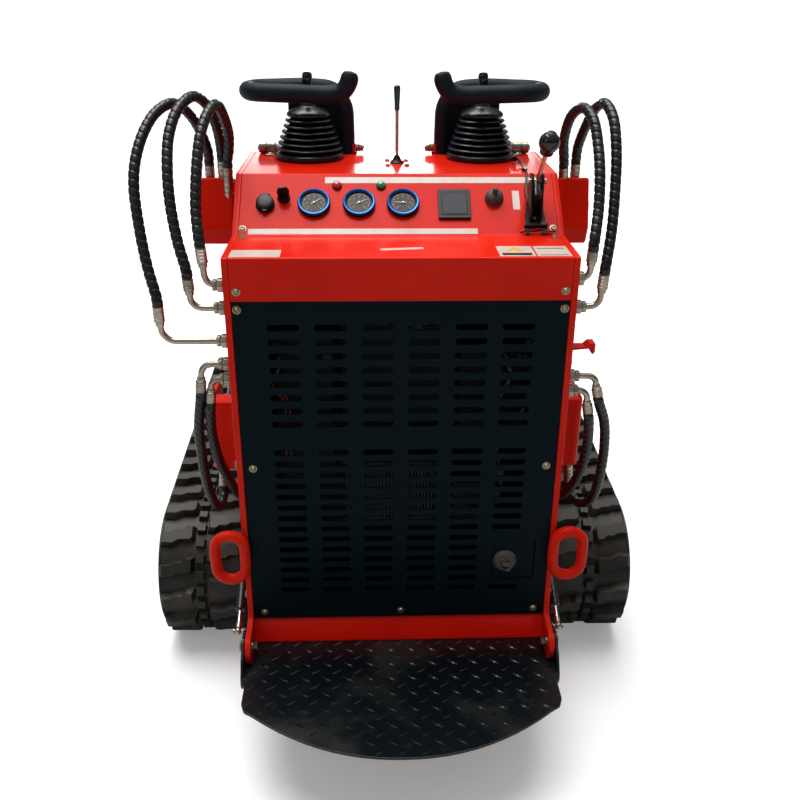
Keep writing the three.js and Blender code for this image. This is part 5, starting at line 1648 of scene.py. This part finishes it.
def make_wheels():
    for side, sign in SIDES:
        y, z, radius = WHEELS[2]
        rim = radius - LUG - BELT - 1.8
        idler = Piece(f"{side}_idler_wheel")
        shape = [(28, -60), (28, -54), (52, -50), (rim - 30, -46), (rim - 18, -50), (rim, -46), (rim, -18),
                 (rim - 20, -13), (rim - 20, 13), (rim, 18), (rim, 46), (rim - 18, 50), (rim - 30, 46),
                 (52, 50), (28, 54), (28, 60)]
        at = turn_to(RIGHT, (sign * TRACK_X, y, z))
        idler.add(bevelled(turned(shape, 56), 1.2, 1, 50), SATIN_BLACK, at)
        for end in (-1, 1):
            idler.lathe([(20, 0), (20, 3), (12, 4)], 24, ZINC,
                        turn_to((end, 0, 0), (sign * TRACK_X + end * 60, y, z)))
        idler.done("chassis", f"{side}_idler", "black_paint")
        y, z, radius = WHEELS[1]
        rim = radius - LUG - BELT - 1.8
        wheel = Piece(f"{side}_sprocket_wheel")
        teeth = []
        for i in range(SPROCKET_TEETH):
            for share, reach in ((0.02, rim - 17), (0.28, rim - 17), (0.40, rim - 4), (0.47, rim),
                                 (0.83, rim), (0.90, rim - 4)):
                angle = 2 * pi * (i + share) / SPROCKET_TEETH
                teeth.append((reach * cos(angle), reach * sin(angle)))
        at = outboard(sign, TRACK_X, y, z)
        wheel.add(bevelled(prism(teeth, -20, 20, "Z"), 1.5, 1, 50), SATIN_BLACK, at)
        hub = [(80, -139), (82, -136), (82, -60), (78, -56), (78, -4), (70, 0), (70, 42), (66, 45),
               (40, 45), (38, 49), (0, 50)]
        wheel.add(bevelled(turned(hub, 48), 1.0, 1, 50), SATIN_BLACK, at)
        wheel.done("chassis", f"{side}_drive_sprocket", "black_paint")
        ring = [side_spot(sign, TRACK_X + 45, *spot) for spot in around(9, 56, WHEELS[1])]
        ring += [side_spot(sign, TRACK_X + 50, *spot) for spot in around(6, 40, WHEELS[2])]
        stand(f"{side}_wheel_bolts", hex_bolt(9, 7), ring, ZINC, "chassis")

        frame_piece = Piece(f"{side}_track_rails")
        for low, high in ((-75, -57), (57, 75)):
            rail = rounded([(420, 128), (470, 108), (1015, 105), (1030, 120), (1030, 170), (1010, 186),
                            (470, 186), (420, 176)], 6, 3)
            frame_piece.plate(rail, sign * TRACK_X + low, sign * TRACK_X + high, "X", SATIN_BLACK, 1.2)
        middle = rounded(rectangle(-58, 58, 112, 184), 4, 3)
        frame_piece.plate([(sign * TRACK_X + x, z0) for x, z0 in middle], 490, 1010, "Y", SATIN_BLACK)
        for end in (-1, 1):
            arm = rounded(rectangle(330, 495, 148, 184), 6, 3)
            frame_piece.plate(arm, sign * TRACK_X + end * 66, sign * TRACK_X + end * 75, "X", SATIN_BLACK)
        for ty in (520, 900):
            frame_piece.bar(sign * (HALF + GAP), sign * (TRACK_X - 58), ty, ty + 90, 110, 180, SATIN_BLACK,
                            3, 2)
        for ry in (545, 703, 861, 1020):
            roller = [(16, -62), (45, -58), (45, -22), (38, -18), (38, 18), (45, 22), (45, 58), (16, 62)]
            frame_piece.add(bevelled(turned(roller, 36), 1, 1, 50), SATIN_BLACK,
                            turn_to(RIGHT, (sign * TRACK_X, ry, LUG + BELT + 46)))
        top = [(20, -50), (24, -46), (24, 46), (20, 50)]
        frame_piece.lathe(top, 32, SATIN_BLACK, turn_to(RIGHT, (sign * TRACK_X, 765, 290)))
        frame_piece.bar(sign * TRACK_X - 10, sign * TRACK_X + 10, 750, 780, 180, 292, SATIN_BLACK, 2)
        frame_piece.done("chassis", f"{side}_track_frame", "black_paint")
        axle_ends = [side_spot(sign, TRACK_X + 75, ry, LUG + BELT + 62) for ry in (545, 703, 861, 990)]
        stand(f"{side}_rail_bolts", hex_bolt(10, 7), axle_ends, ZINC, "chassis")


# ------------------------------------------------------------------ loader arms
def bar_outline(points, halves):
    """Outline of a bar along a polyline in (y, z), with mitred corners."""
    left, right = [], []
    for i, point in enumerate(points):
        here = Vector(point)
        into = (here - Vector(points[i - 1])).normalized() if i else (Vector(points[1]) - here).normalized()
        out = (Vector(points[i + 1]) - here).normalized() if i < len(points) - 1 else into
        normal = Vector((-(into.y + out.y), into.x + out.x))
        normal *= halves[i] / (normal.x * -into.y + normal.y * into.x)
        left.append(tuple(here + normal))
        right.insert(0, tuple(here - normal))
    return left + right


def pin(piece, sign, x0, x1, place, radius):
    """A pivot pin with a chamfered, domed outer end."""
    length = abs(x1 - x0)
    shape = [(radius, 0), (radius, length - 4), (radius - 2, length - 1), (radius * 0.5, length),
             (radius * 0.4, length + 1.5)]
    piece.lathe(shape, 36, ZINC, outboard(sign, x0, *place))


def make_boom():
    py, pz = BOOM_PIVOT
    ey, ez = BOOM_ELBOW
    slope = atan2(ez - pz, ey - py)
    tail = (py - 85, pz - 85 * tan(slope))
    halves = [62, 56, 44]
    for side, sign in SIDES:
        outline = bar_outline([tail, BOOM_ELBOW, BOOM_FOOT], halves)
        low_back = outline[-1]
        outline[-1] = (low_back[0] + 8, low_back[1] - 15)
        outline.append((low_back[0] - 6, low_back[1] + 22))
        shaped = rounded(outline, [7, 80, 40, 40, 70, 12, 10], 6)
        arm = Piece(f"{side}_boom_beam")
        inner = BOOM_INSIDE
        outer = BOOM_OUTSIDE if side == "left" else BOOM_OUTSIDE - 6
        a, b = sorted((sign * inner, sign * outer))
        arm.plate(shaped, a, b, "X", RED, 7 if side == "right" else 4, 3)
        arm.add(bevelled(turned([(48, -5), (48, 74), (44, 78)], 44), 1, 1, 60), RED,
                outboard(sign, inner, *BOOM_FOOT))
        arm.add(bevelled(turned([(40, -4), (40, 74), (36, 77)], 44), 1, 1, 60), RED,
                outboard(sign, inner, *BOOM_PIVOT))
        ly, lz = LIFT_EYE
        lug = [(ly - 62, lz + 78), (ly - 42, lz - 10), *arc((ly, lz), 42, 200, 340, 12), (ly + 42, lz + 20),
               (ly + 62, lz + 62)]
        for x0, x1 in ((inner, inner + 7), (BOOM_OUTSIDE - 7, BOOM_OUTSIDE)):
            arm.plate(rounded(lug, 3, 2), sign * x0, sign * x1, "X", RED)
        seam = [(py + 60, pz - 40), (ey - 60, ez - 6), (ey - 10, ez - 22)]
        seam_path = smooth_path([(sign * (outer + 0.5), y, z) for y, z in seam], 30)
        arm.add(swept(seam_path, 2.0, 8), RED)
        arm.done("boom", f"{side}_boom_arm", "red_paint")
        pins = Piece(f"{side}_boom_pins")
        pin(pins, sign, inner + 70, outer + 15, BOOM_PIVOT, 22)
        pin(pins, sign, inner + 70, outer + 13, BOOM_FOOT, 24)
        pin(pins, sign, inner - 4, BOOM_OUTSIDE + 6, LIFT_EYE, 16)
        pins.done("boom")
        bolts = [side_spot(sign, outer + lift, *spot) for place, reach, lift in ((BOOM_PIVOT, 30, 8),
                                                                                 (BOOM_FOOT, 34, 6))
                 for spot in around(3, reach, place, 90)]
        stand(f"{side}_boom_bolts", hex_bolt(7, 5), bolts, ZINC, "boom")

    cross = Piece("boom_cross_beam")
    cy, cz = ey - 10, ez - 30
    reach = BOOM_INSIDE - GAP
    tube = [(52, -reach), (52, 8 - reach), (44, 12 - reach), (44, reach - 12), (52, reach - 8), (52, reach)]
    cross.add(bevelled(turned(tube, 48), 0.8, 1, 50), RED, turn_to(RIGHT, (0, cy, cz)))
    ty, tz = TILT_BASE
    lug = [(cy - 42, cz), (ty - 34, tz + 6), *arc((ty, tz), 34, 180, 330, 12), (ty + 40, tz + 40),
           (cy + 40, cz)]
    for x0, x1 in ((-40, -32), (32, 40)):
        cross.plate(lug, x0, x1, "X", RED)
    for sign in (-1, 1):
        cross.add(bevelled(turned([(20, 0), (20, 5), (15, 7)], 28), 0.6, 1, 50), ZINC,
                  outboard(sign, 39, ty, tz))
    cross.done("boom", "boom_cross_tube", "red_paint")


def make_cylinder(name, base, eye, x, bodies, size):
    """Barrel with welded base eye, ports and gland, and a chromed rod with its forged eye."""
    barrel, rod_radius, eye_radius, base_wide, eye_wide, body, engaged = size
    direction = Vector((0, eye[0] - base[0], eye[1] - base[1]))
    whole = direction.length
    at = turn_to(direction, (x, *base))
    tube = Piece(f"{name}_tube")
    shape = [(barrel - 4, eye_radius * 0.6), (barrel, eye_radius * 0.6 + 5), (barrel, body - 46),
             (barrel + 4, body - 44), (barrel + 4, body - 12), (barrel + 1, body - 8),
             (barrel - 5, body - 8), (barrel - 5, body), (rod_radius + 2, body), (rod_radius + 1, body - 6)]
    tube.lathe(shape, 44, CYLINDER_BLACK, at)
    collar = [(eye_radius - 1, -base_wide / 2), (eye_radius, 1.5 - base_wide / 2),
              (eye_radius, base_wide / 2 - 1.5), (eye_radius - 1, base_wide / 2)]
    tube.lathe(collar, 36, CYLINDER_BLACK, turn_to(RIGHT, (x, *base)))
    for along in (eye_radius + 26, body - 70):
        port = at @ moved(0, 0, along) @ spun(-90, "X")
        tube.add(bevelled(turned([(11, barrel - 6), (11, barrel + 8), (7, barrel + 9)], 20), 0.6, 1, 50),
                 ZINC, port)
    tube.done(bodies[0], f"{name}_barrel", "cylinder_paint")
    rod = Piece(f"{name}_ram")
    shank = [(0, body - engaged), (rod_radius, body - engaged + 1), (rod_radius, whole - eye_radius * 0.9),
             (rod_radius + 3, whole - eye_radius * 0.7), (0, whole - eye_radius * 0.5)]
    rod.lathe(shank, 36, CHROME, at)
    head = [(eye_radius - 2, -eye_wide / 2), (eye_radius, 2 - eye_wide / 2), (eye_radius, eye_wide / 2 - 2),
            (eye_radius - 2, eye_wide / 2)]
    rod.lathe(head, 36, CYLINDER_BLACK, turn_to(RIGHT, (x, *eye)))
    rod.done(bodies[1], f"{name}_rod", "chrome_rod")


def make_cylinders():
    for side, sign in SIDES:
        make_cylinder(f"{side}_lift_cylinder", LIFT_BASE, LIFT_EYE, sign * LIFT_PLANE,
                      (f"{side}_lift_barrel", f"{side}_lift_rod"), (29, 16, 30, 62, 36, 560, 418))
    make_cylinder("tilt_cylinder", TILT_BASE, TILT_EYE, 0, ("tilt_barrel", "tilt_rod"),
                  (30, 16, 24, 60, 44, 330, 248))


make_tracks()
make_wheels()
make_boom()
make_cylinders()
# ------------------------------------------------------------------ behind the grille
def make_cooling():
    """A dark baffle and dark blocks behind the grille, painted shade for the space inside; the oil cooler's
    fins, and the lines that cross in front of them.
    """
    shade_sheets = Piece("radiator_shroud")
    wide, low, high = INSIDE - 3, GRILLE_LOW.z + 2, GRILLE_HIGH.z - 6
    deep = 190
    for sign in (-1, 1):
        shade_sheets.add(block(sign * (wide - 3), sign * wide, 12, deep, low, high), SHADE_BLACK)
    shade_sheets.add(block(-wide, wide, deep - 3, deep, low, high), SHADE_BLACK)
    shade_sheets.add(block(-wide, wide, 50, deep, low, low + 3), SHADE_BLACK)
    shade_sheets.add(block(-wide, wide, 12, deep, high - 3, high), SHADE_BLACK)
    # Dark blocks in the space behind the grille: painted shade.
    for x0, x1, y0, y1, z0, z1 in ((-250, -130, 70, 150, 560, 900), (120, 265, 90, 160, 640, 850),
                                   (-120, 100, 110, 150, 640, 930), (110, 210, 60, 120, 470, 560)):
        shade_sheets.bar(x0, x1, y0, y1, z0, z1, SHADE_BLACK, 8, 2)
    shade_sheets.done("chassis")
    slat = block(-0.8, 0.8, -14, 14, -70, 70)
    rows = [((-108 + 7 * i, 62, 545), UP, RIGHT) for i in range(27)]
    stand("oil_cooler_fins", slat, rows, FIN_GREY, "chassis")
    lines = Piece("cooling_lines")
    for z in (478, 545, 612):
        lines.add(swept([(-116, 58, z), (84, 58, z)], 5, 10), CAST_GREY)
    runs = (((-265, 40, 905), (-238, 34, 880), (-240, 36, 820), (-268, 44, 760), (-262, 40, 680)),
            ((268, 36, 920), (242, 32, 860), (262, 40, 800), (240, 44, 730), (170, 48, 690)),
            ((150, 46, 905), (196, 38, 870), (214, 40, 812), (190, 46, 740), (210, 44, 560)),
            ((-60, 44, 935), (10, 38, 922), (96, 42, 930)),
            ((-110, 50, 700), (20, 44, 712), (118, 46, 700)))
    for run in runs:
        path = smooth_path(run, 26)
        lines.add(swept(path, 8, 12), BOOT_BLACK)
        for share in (0.12, 0.52, 0.88):
            spot = path[int(share * 25)]
            along = path[int(share * 25) + 1] - spot
            lines.lathe([(10.5, 0), (11, 1), (11, 17), (10.5, 18)], 20, CAST_GREY, turn_to(along, spot))
    for shift in (0, 9):
        wire = smooth_path([(-262 + shift, 24, 838), (-256 + shift, 26, 800), (-230 + shift, 30, 770),
                            (-228 + shift, 28, 640)], 20)
        lines.add(swept(wire, 1.8, 6), RED_WIRE)
    for x, z in ((-258, 868), (232, 846), (252, 880), (-146, 845), (206, 600), (196, 536), (160, 492)):
        lines.nut(13, 0, 16, 1.5, CAST_GREY, turn_to((0.3, -1, 0.25), (x, 56, z)))
    lines.done("chassis")


# ------------------------------------------------------------------ hood
def make_hood():
    rear, brow, front = CONSOLE_BACK + 6, 60, BODY_FRONT
    rear_top, front_top = CONSOLE_HEIGHT - 8, CONSOLE_HEIGHT - 89
    profile = rounded([(rear, HOOD_SILL), (front, HOOD_SILL), (front, front_top - brow),
                       (front - brow * 0.35, front_top - brow * 0.3), (front - brow, front_top),
                       (rear, rear_top)], [0, 0, 26, 24, 26, 0], 4)
    shell = prism(profile, -HALF, HALF, "X")

    def open_side(corners):
        return (all(abs(v.co.z - HOOD_SILL) < 0.1 for v in corners)
                or all(abs(v.co.y - rear) < 0.1 for v in corners))

    rim = [e for e in shell.edges if abs(e.verts[0].co.x - e.verts[1].co.x) < 0.1
           and not open_side(e.verts)]
    bmesh.ops.bevel(shell, geom=rim, offset=15, offset_type="OFFSET", segments=5, profile=0.5,
                    affect="EDGES")
    bmesh.ops.delete(shell, geom=[f for f in shell.faces if open_side(f.verts)], context="FACES")
    bmesh.ops.recalc_face_normals(shell, faces=shell.faces)
    bmesh.ops.solidify(shell, geom=shell.faces[:], thickness=SHEET)
    hood = Piece("hood_shell")
    hood.add(shell, RED)
    slope = atan2(front_top - rear_top, front - brow - rear)
    for x in (-150, 150):
        swage = smooth_path([(x, rear + 40, 0), (x * 0.94, front - brow - 50, 0)], 12)
        raised = [Vector((p.x, p.y, rear_top + (p.y - rear) * tan(slope) - 1)) for p in swage]
        hood.add(swept(raised, 7, 12, flat=0.35), RED)
    for sign in (-1, 1):
        hood.bar(sign * (HALF - 4), sign * (HALF + 1.2), rear + 12, front - 10, HOOD_SILL + 1,
                 HOOD_SILL + 22, RED)
    hood.done("hood", "engine_hood", "red_paint")
    shade_strips, vents = [], []
    for row in range(5):
        z = HOOD_SILL + 44 + 25 * row
        for sign in (-1, 1):
            for y in (700, 860):
                vents.append(((sign * HALF, y, z), (sign, 0, 0), (0, -sign, 0)))
                shade_strips.append(((sign * HALF, y, z - 7), (sign, 0, 0), (0, -sign, 0)))
        if row < 4:
            for x in (-165, 0, 165):
                vents.append(((x, front, z - 8), AHEAD, LEFT))
                shade_strips.append(((x, front, z - 15), AHEAD, LEFT))
    louvre = prism([(-7, -0.5), (7, -0.5), (4, 3.2), (-3, 6.5), (-7, 6.5), (-7, 5.3), (-3.4, 5.3),
                    (2.6, 1.5), (-7, 1.2)], -62, 62, "X")
    stand("hood_louvres", louvre, vents, RED, "hood")
    # Dark strips under the louvres: painted shade in their openings.
    stand("louvre_shadows", block(-58, 58, -1, 5, -0.4, 0.5), shade_strips, SHADE_BLACK, "hood")

    latch = Piece("hood_latches")
    hinge, fixed = Piece("hood_hinges"), Piece("hood_hinge_leaves")
    hy, hz = HOOD_HINGE
    for sign in (-1, 1):
        x = sign * 235
        latch.bar(x - 16, x + 16, front - 1, front + 5, HOOD_SILL + 6, HOOD_SILL + 62, PLASTIC_BLACK, 2.5,
                  2)
        latch.bar(x - 24, x + 24, front + 2, front + 11, HOOD_SILL + 2, HOOD_SILL + 18, BOOT_BLACK, 4, 3)
        for x0, x1, piece in ((249, 265.5, hinge), (266.5, 285.5, fixed), (286.5, 303, hinge)):
            knuckle = [(11, 0), (12, 1), (12, x1 - x0 - 1), (11, x1 - x0)]
            piece.lathe(knuckle, 32, ZINC, outboard(sign, x0, hy, hz))
        hinge.add(bevelled(turned([(6, -3), (7, -1), (7, 0), (4, 1), (4, 54), (7, 54), (6, 58)], 20), 0.4,
                           1, 50), STEEL, outboard(sign, 248, hy, hz))
        strap = [(hy + 4, hz - 11.5), (CONSOLE_BACK - 8, CONSOLE_HEIGHT + 3.5),
                 (CONSOLE_BACK + 3, CONSOLE_HEIGHT + 1), (rear + 44, rear_top - 9),
                 (rear + 44, rear_top - 4), (CONSOLE_BACK + 3, CONSOLE_HEIGHT + 6),
                 (CONSOLE_BACK - 8, CONSOLE_HEIGHT + 8), (hy + 4, hz - 6)]
        for x0, x1 in ((249, 265.5), (286.5, 303)):
            hinge.plate(strap[:3] + strap[5:], sign * x0, sign * x1, "X", ZINC, 0.6)
        hinge.plate(strap[1:7], sign * 249, sign * 303, "X", ZINC, 0.6)
        leaf = [(hy - 34, CONSOLE_HEIGHT + 0.3), (hy, CONSOLE_HEIGHT + 0.6), (hy, CONSOLE_HEIGHT + 5),
                (hy - 12, CONSOLE_HEIGHT + 4), (hy - 34, CONSOLE_HEIGHT + 3.6)]
        fixed.plate(leaf, sign * 266.5, sign * 285.5, "X", ZINC, 0.6)
        fixed.add(cap_screw(5, 3, 2), ZINC, moved(sign * 276, hy - 24, CONSOLE_HEIGHT + 3.6))
    latch.done("hood")
    hinge.done("hood")
    fixed.done("chassis")


# ------------------------------------------------------------------ bucket, tool carrier
CARRIER_BACK = BUCKET_LOW.y - 10.3


def make_bucket():
    back, lip, half, top, floor = BUCKET_LOW.y, BUCKET_HIGH.y, BUCKET_HIGH.x, BUCKET_HIGH.z, BUCKET_LOW.z
    wall, bend = 8, 90
    bucket = Piece("bucket_shell")
    sheet = [(back, top), *arc((back + bend, floor + bend), bend, 180, 270, 14), (lip - 111, floor),
             (lip - 111, floor + wall), *arc((back + bend, floor + bend), bend - wall, 270, 180, 14),
             (back + wall, top)]
    bucket.plate(sheet, -half, half, "X", SATIN_BLACK, 0.8)
    side = rounded([(back + 1, top), (back + 1, floor + bend),
                    *arc((back + bend, floor + bend), 89, 180, 270, 10), (lip - 30, floor + 1),
                    (lip - 160, 220), (back + 60, top)], [6, *[0] * 12, 4, 30, 12], 4)
    for sign in (-1, 1):
        bucket.plate(side, sign * (half - wall), sign * half, "X", SATIN_BLACK, 1.2)
        edge = [(lip - 34, floor + 17), (lip - 158, 221), (lip - 196, 221), (lip - 96, floor + 17)]
        a, b = sorted((sign * (half - wall - 6), sign * (half - wall + 1)))
        bucket.plate(rounded(edge, 4, 3), a, b, "X", SATIN_BLACK)
        weld = smooth_path([(sign * (half - wall), y, z) for y, z in sheet[17:30]], 40)
        bucket.add(swept(weld, 3, 6), SATIN_BLACK)
        for x in (400, 500):
            rib = rounded([(back - 13, 112), (back + 3, 60), (back + 3, top - 12), (back - 13, top - 40)],
                          6, 3)
            bucket.plate(rib, sign * (x - 5), sign * (x + 5), "X", SATIN_BLACK)
    bar = rounded([(back + 2, top - 34), (back + 26, top - 30), (back + 26, top - 1), (back + 2, top)], 5,
                  3)
    bucket.plate(bar, 1 - half, half - 1, "X", SATIN_BLACK, 0.8)
    cutter = [(lip - 112, floor), (lip - 1, floor), (lip, floor + 2), (lip - 34, floor + 16),
              (lip - 112, floor + 16)]
    bucket.plate(cutter, -half, half, "X", WORN_EDGE, 0.8)
    bucket.done("tool", "bucket", "black_paint")
    bolts = [((x, lip - 78, floor + 16), UP, RIGHT) for x in range(-480, 481, 120)]
    stand("cutting_edge_bolts", turned([(15, 0), (13, 4), (6, 6), (0, 6.4)], 20), bolts, STEEL, "tool")


def make_tool_carrier():
    (fy, fz), (ty, tz) = BOOM_FOOT, TILT_EYE
    half = BOOM_INSIDE - 10
    carrier = Piece("tool_carrier_plate")
    face = rounded([(-half, fz - 90), (half, fz - 90), (half, fz + 140), (half - 60, fz + 200),
                    (60 - half, fz + 200), (-half, fz + 140)], 12, 4)
    carrier.plate(face, CARRIER_BACK, CARRIER_BACK + 10, "Y", SATIN_BLACK, 1.2)
    for z in (fz - 86, fz + 176):
        rail = rounded([(CARRIER_BACK - 14, z), (CARRIER_BACK + 1, z), (CARRIER_BACK + 1, z + 18),
                        (CARRIER_BACK - 14, z + 14)], 3, 3)
        carrier.plate(rail, 62 - half, half - 62, "X", SATIN_BLACK, 0.8)
    ear = [*arc((fy, fz), 34, 90, 270, 14), (CARRIER_BACK + 2, fz - 60), (CARRIER_BACK + 2, fz + 120)]
    lug = [*arc((ty, tz), 30, 60, 270, 14), (CARRIER_BACK + 2, fz + 60), (CARRIER_BACK + 2, fz + 185)]
    for sign in (-1, 1):
        for outline, x0, x1 in ((ear, half - 14, half), (lug, 24, 32)):
            carrier.plate(outline, sign * x0, sign * x1, "X", SATIN_BLACK, 1.2)
        carrier.add(bevelled(turned(rectangle(0, 32, 0, 26), 36), 1.5, 2, 50), SATIN_BLACK,
                    inboard(sign, half - 2, fy, fz))
        pin(carrier, sign, 31, 39, (ty, tz), 15)
        lever = smooth_path([(sign * 200, CARRIER_BACK - 8, fz + 40),
                             (sign * 200, CARRIER_BACK - 16, fz + 90),
                             (sign * 214, CARRIER_BACK - 22, fz + 150)], 12)
        carrier.add(swept(lever, 7, 12), ZINC)
        carrier.lathe([(18, 0), (18, 10), (15, 13)], 28, ZINC,
                      turn_to(BACK, (sign * 200, CARRIER_BACK + 1, fz + 40)))
    carrier.lathe(rectangle(0, 22, 1 - half, half - 1), 36, STEEL, turn_to(RIGHT, (0, fy, fz)))
    carrier.done("tool", "tool_carrier", "black_paint")


# ------------------------------------------------------------------ engine, bulkhead, belly
def make_engine():
    low, high = span("engine_block")
    y0, y1, top = low.y, high.y, high.z
    base = top - 450
    engine = Piece("engine_and_feet")
    for sign in (-1, 1):
        x0, x1 = sorted((sign * 115, sign * 165))
        engine.bar(x0, x1, y0, y1, base, base + 22, SATIN_BLACK, 2)
        for y in (y0 + 40, y1 - 40):
            foot = [(20, 0), (20, 8), (13, 14), (17, 40), (13, 66), (20, 72), (20, base - low.z)]
            engine.lathe(foot, 24, BOOT_BLACK, moved(sign * 140, y, low.z))
        for i in range(9):
            engine.bar(sign * (78 + 11 * i), sign * (82 + 11 * i), y0 + 70, y1 - 70, base + 190, base + 330,
                       CAST_GREY)
        cover = [(52, 0), (52, 8), (46, 13), (0, 14)]
        engine.lathe(cover, 36, SATIN_BLACK, outboard(sign, 166, y0 + 175, base + 258))
    engine.bar(-150, 150, y0 + 30, y1 - 30, base + 18, base + 200, CAST_GREY, 14, 3)
    engine.bar(-80, 80, y0 + 60, y1 - 60, base + 196, base + 345, CAST_GREY, 8, 2)
    engine.bar(-150, 150, y0 + 20, y1 - 100, base + 335, top - 14, SATIN_BLACK, 22, 4)
    for radius in (30, 52, 74, 96):
        ring = [(x, y, top - 11) for x, y in around(36, radius, (0, y0 + 135))]
        engine.add(swept(ring, 2.4, 8, closed=True), CAST_GREY)
    middle = Vector((0, y0 + 135, top - 12))
    for x, y in around(12, 98)[:6]:
        reach = Vector((x, y, 0))
        engine.add(swept([middle - reach, middle + reach], 2, 6), CAST_GREY)
    can = [(40, 0), (44, 4), (44, 246), (40, 250)]
    engine.lathe(can, 36, STEEL, turn_to(RIGHT, (-125, y1 - 50, top - 62)))
    engine.lathe([(34, 0), (36, 3), (36, 62), (30, 70), (0, 71)], 32, ZINC,
                 turn_to(LEFT, (-148, y0 + 110, base + 90)))
    engine.done("chassis", "engine_block", "engine_casting")


def make_closing_plates():
    low, high = BULKHEAD_LOW, BULKHEAD_HIGH
    sheet = Piece("front_bulkhead_sheet")
    face = rounded(rectangle(low.x, high.x, low.z, high.z), 8, 3)
    sheet.plate(face, low.y, high.y, "Y", RED, 1.2, 2)
    stiffener = rounded([(high.y - 1, 500), (high.y + 14, 504), (high.y + 14, 548), (high.y - 1, 552)], 4,
                        3)
    sheet.plate(stiffener, low.x + 60, high.x - 60, "X", RED, 0.8)
    sheet.done("chassis", "front_bulkhead", "red_paint")
    spots = [((sign * 290, high.y, z), AHEAD, RIGHT) for sign in (-1, 1) for z in (250, 400, 550, 700, 850)]
    stand("bulkhead_bolts", hex_bolt(8, 6), spots, ZINC, "chassis")
    low, high = span("belly_plate")
    belly = Piece("belly_sheet")
    belly.bar(low.x, high.x, low.y, high.y, low.z, high.z, RED, 1.2, 2)
    belly.done("chassis", "belly_plate", "red_paint")
    spots = [((sign * 290, y, low.z), DOWN, RIGHT) for sign in (-1, 1) for y in (140, 400, 660, 920)]
    stand("belly_bolts", turned([(10, 0), (9, 2.6), (4, 4), (0, 4.2)], 16), spots, ZINC, "chassis")


make_cooling()
make_hood()
make_bucket()
make_tool_carrier()
make_engine()
make_closing_plates()

# ------------------------------------------------------------------ finishes of the frame's own pieces
FRAME_FINISHES = {"red_paint": RED, "grille_paint": GRILLE_BLACK, "tread_plate": TREAD_BLACK,
                  "black_paint": SATIN_BLACK, "cylinder_paint": CYLINDER_BLACK, "track_rubber": TRACK_BLACK,
                  "boot_rubber": BOOT_BLACK, "hydraulic_hose": HOSE_BLACK, "foam": FOAM,
                  "gauge_bezel": BEZEL_BLUE, "chrome_rod": CHROME, "engine_casting": CAST_GREY,
                  "black_plastic": PLASTIC_BLACK, "red_lens": RED_LENS, "green_lens": GREEN_LENS,}


def paint_frame():
    for part in frame["record"]["subparts"]:
        node = frame["nodes"][part["node"]]
        node.data.materials.clear()
        node.data.materials.append(FRAME_FINISHES[part["material_slot"]])


paint_frame()
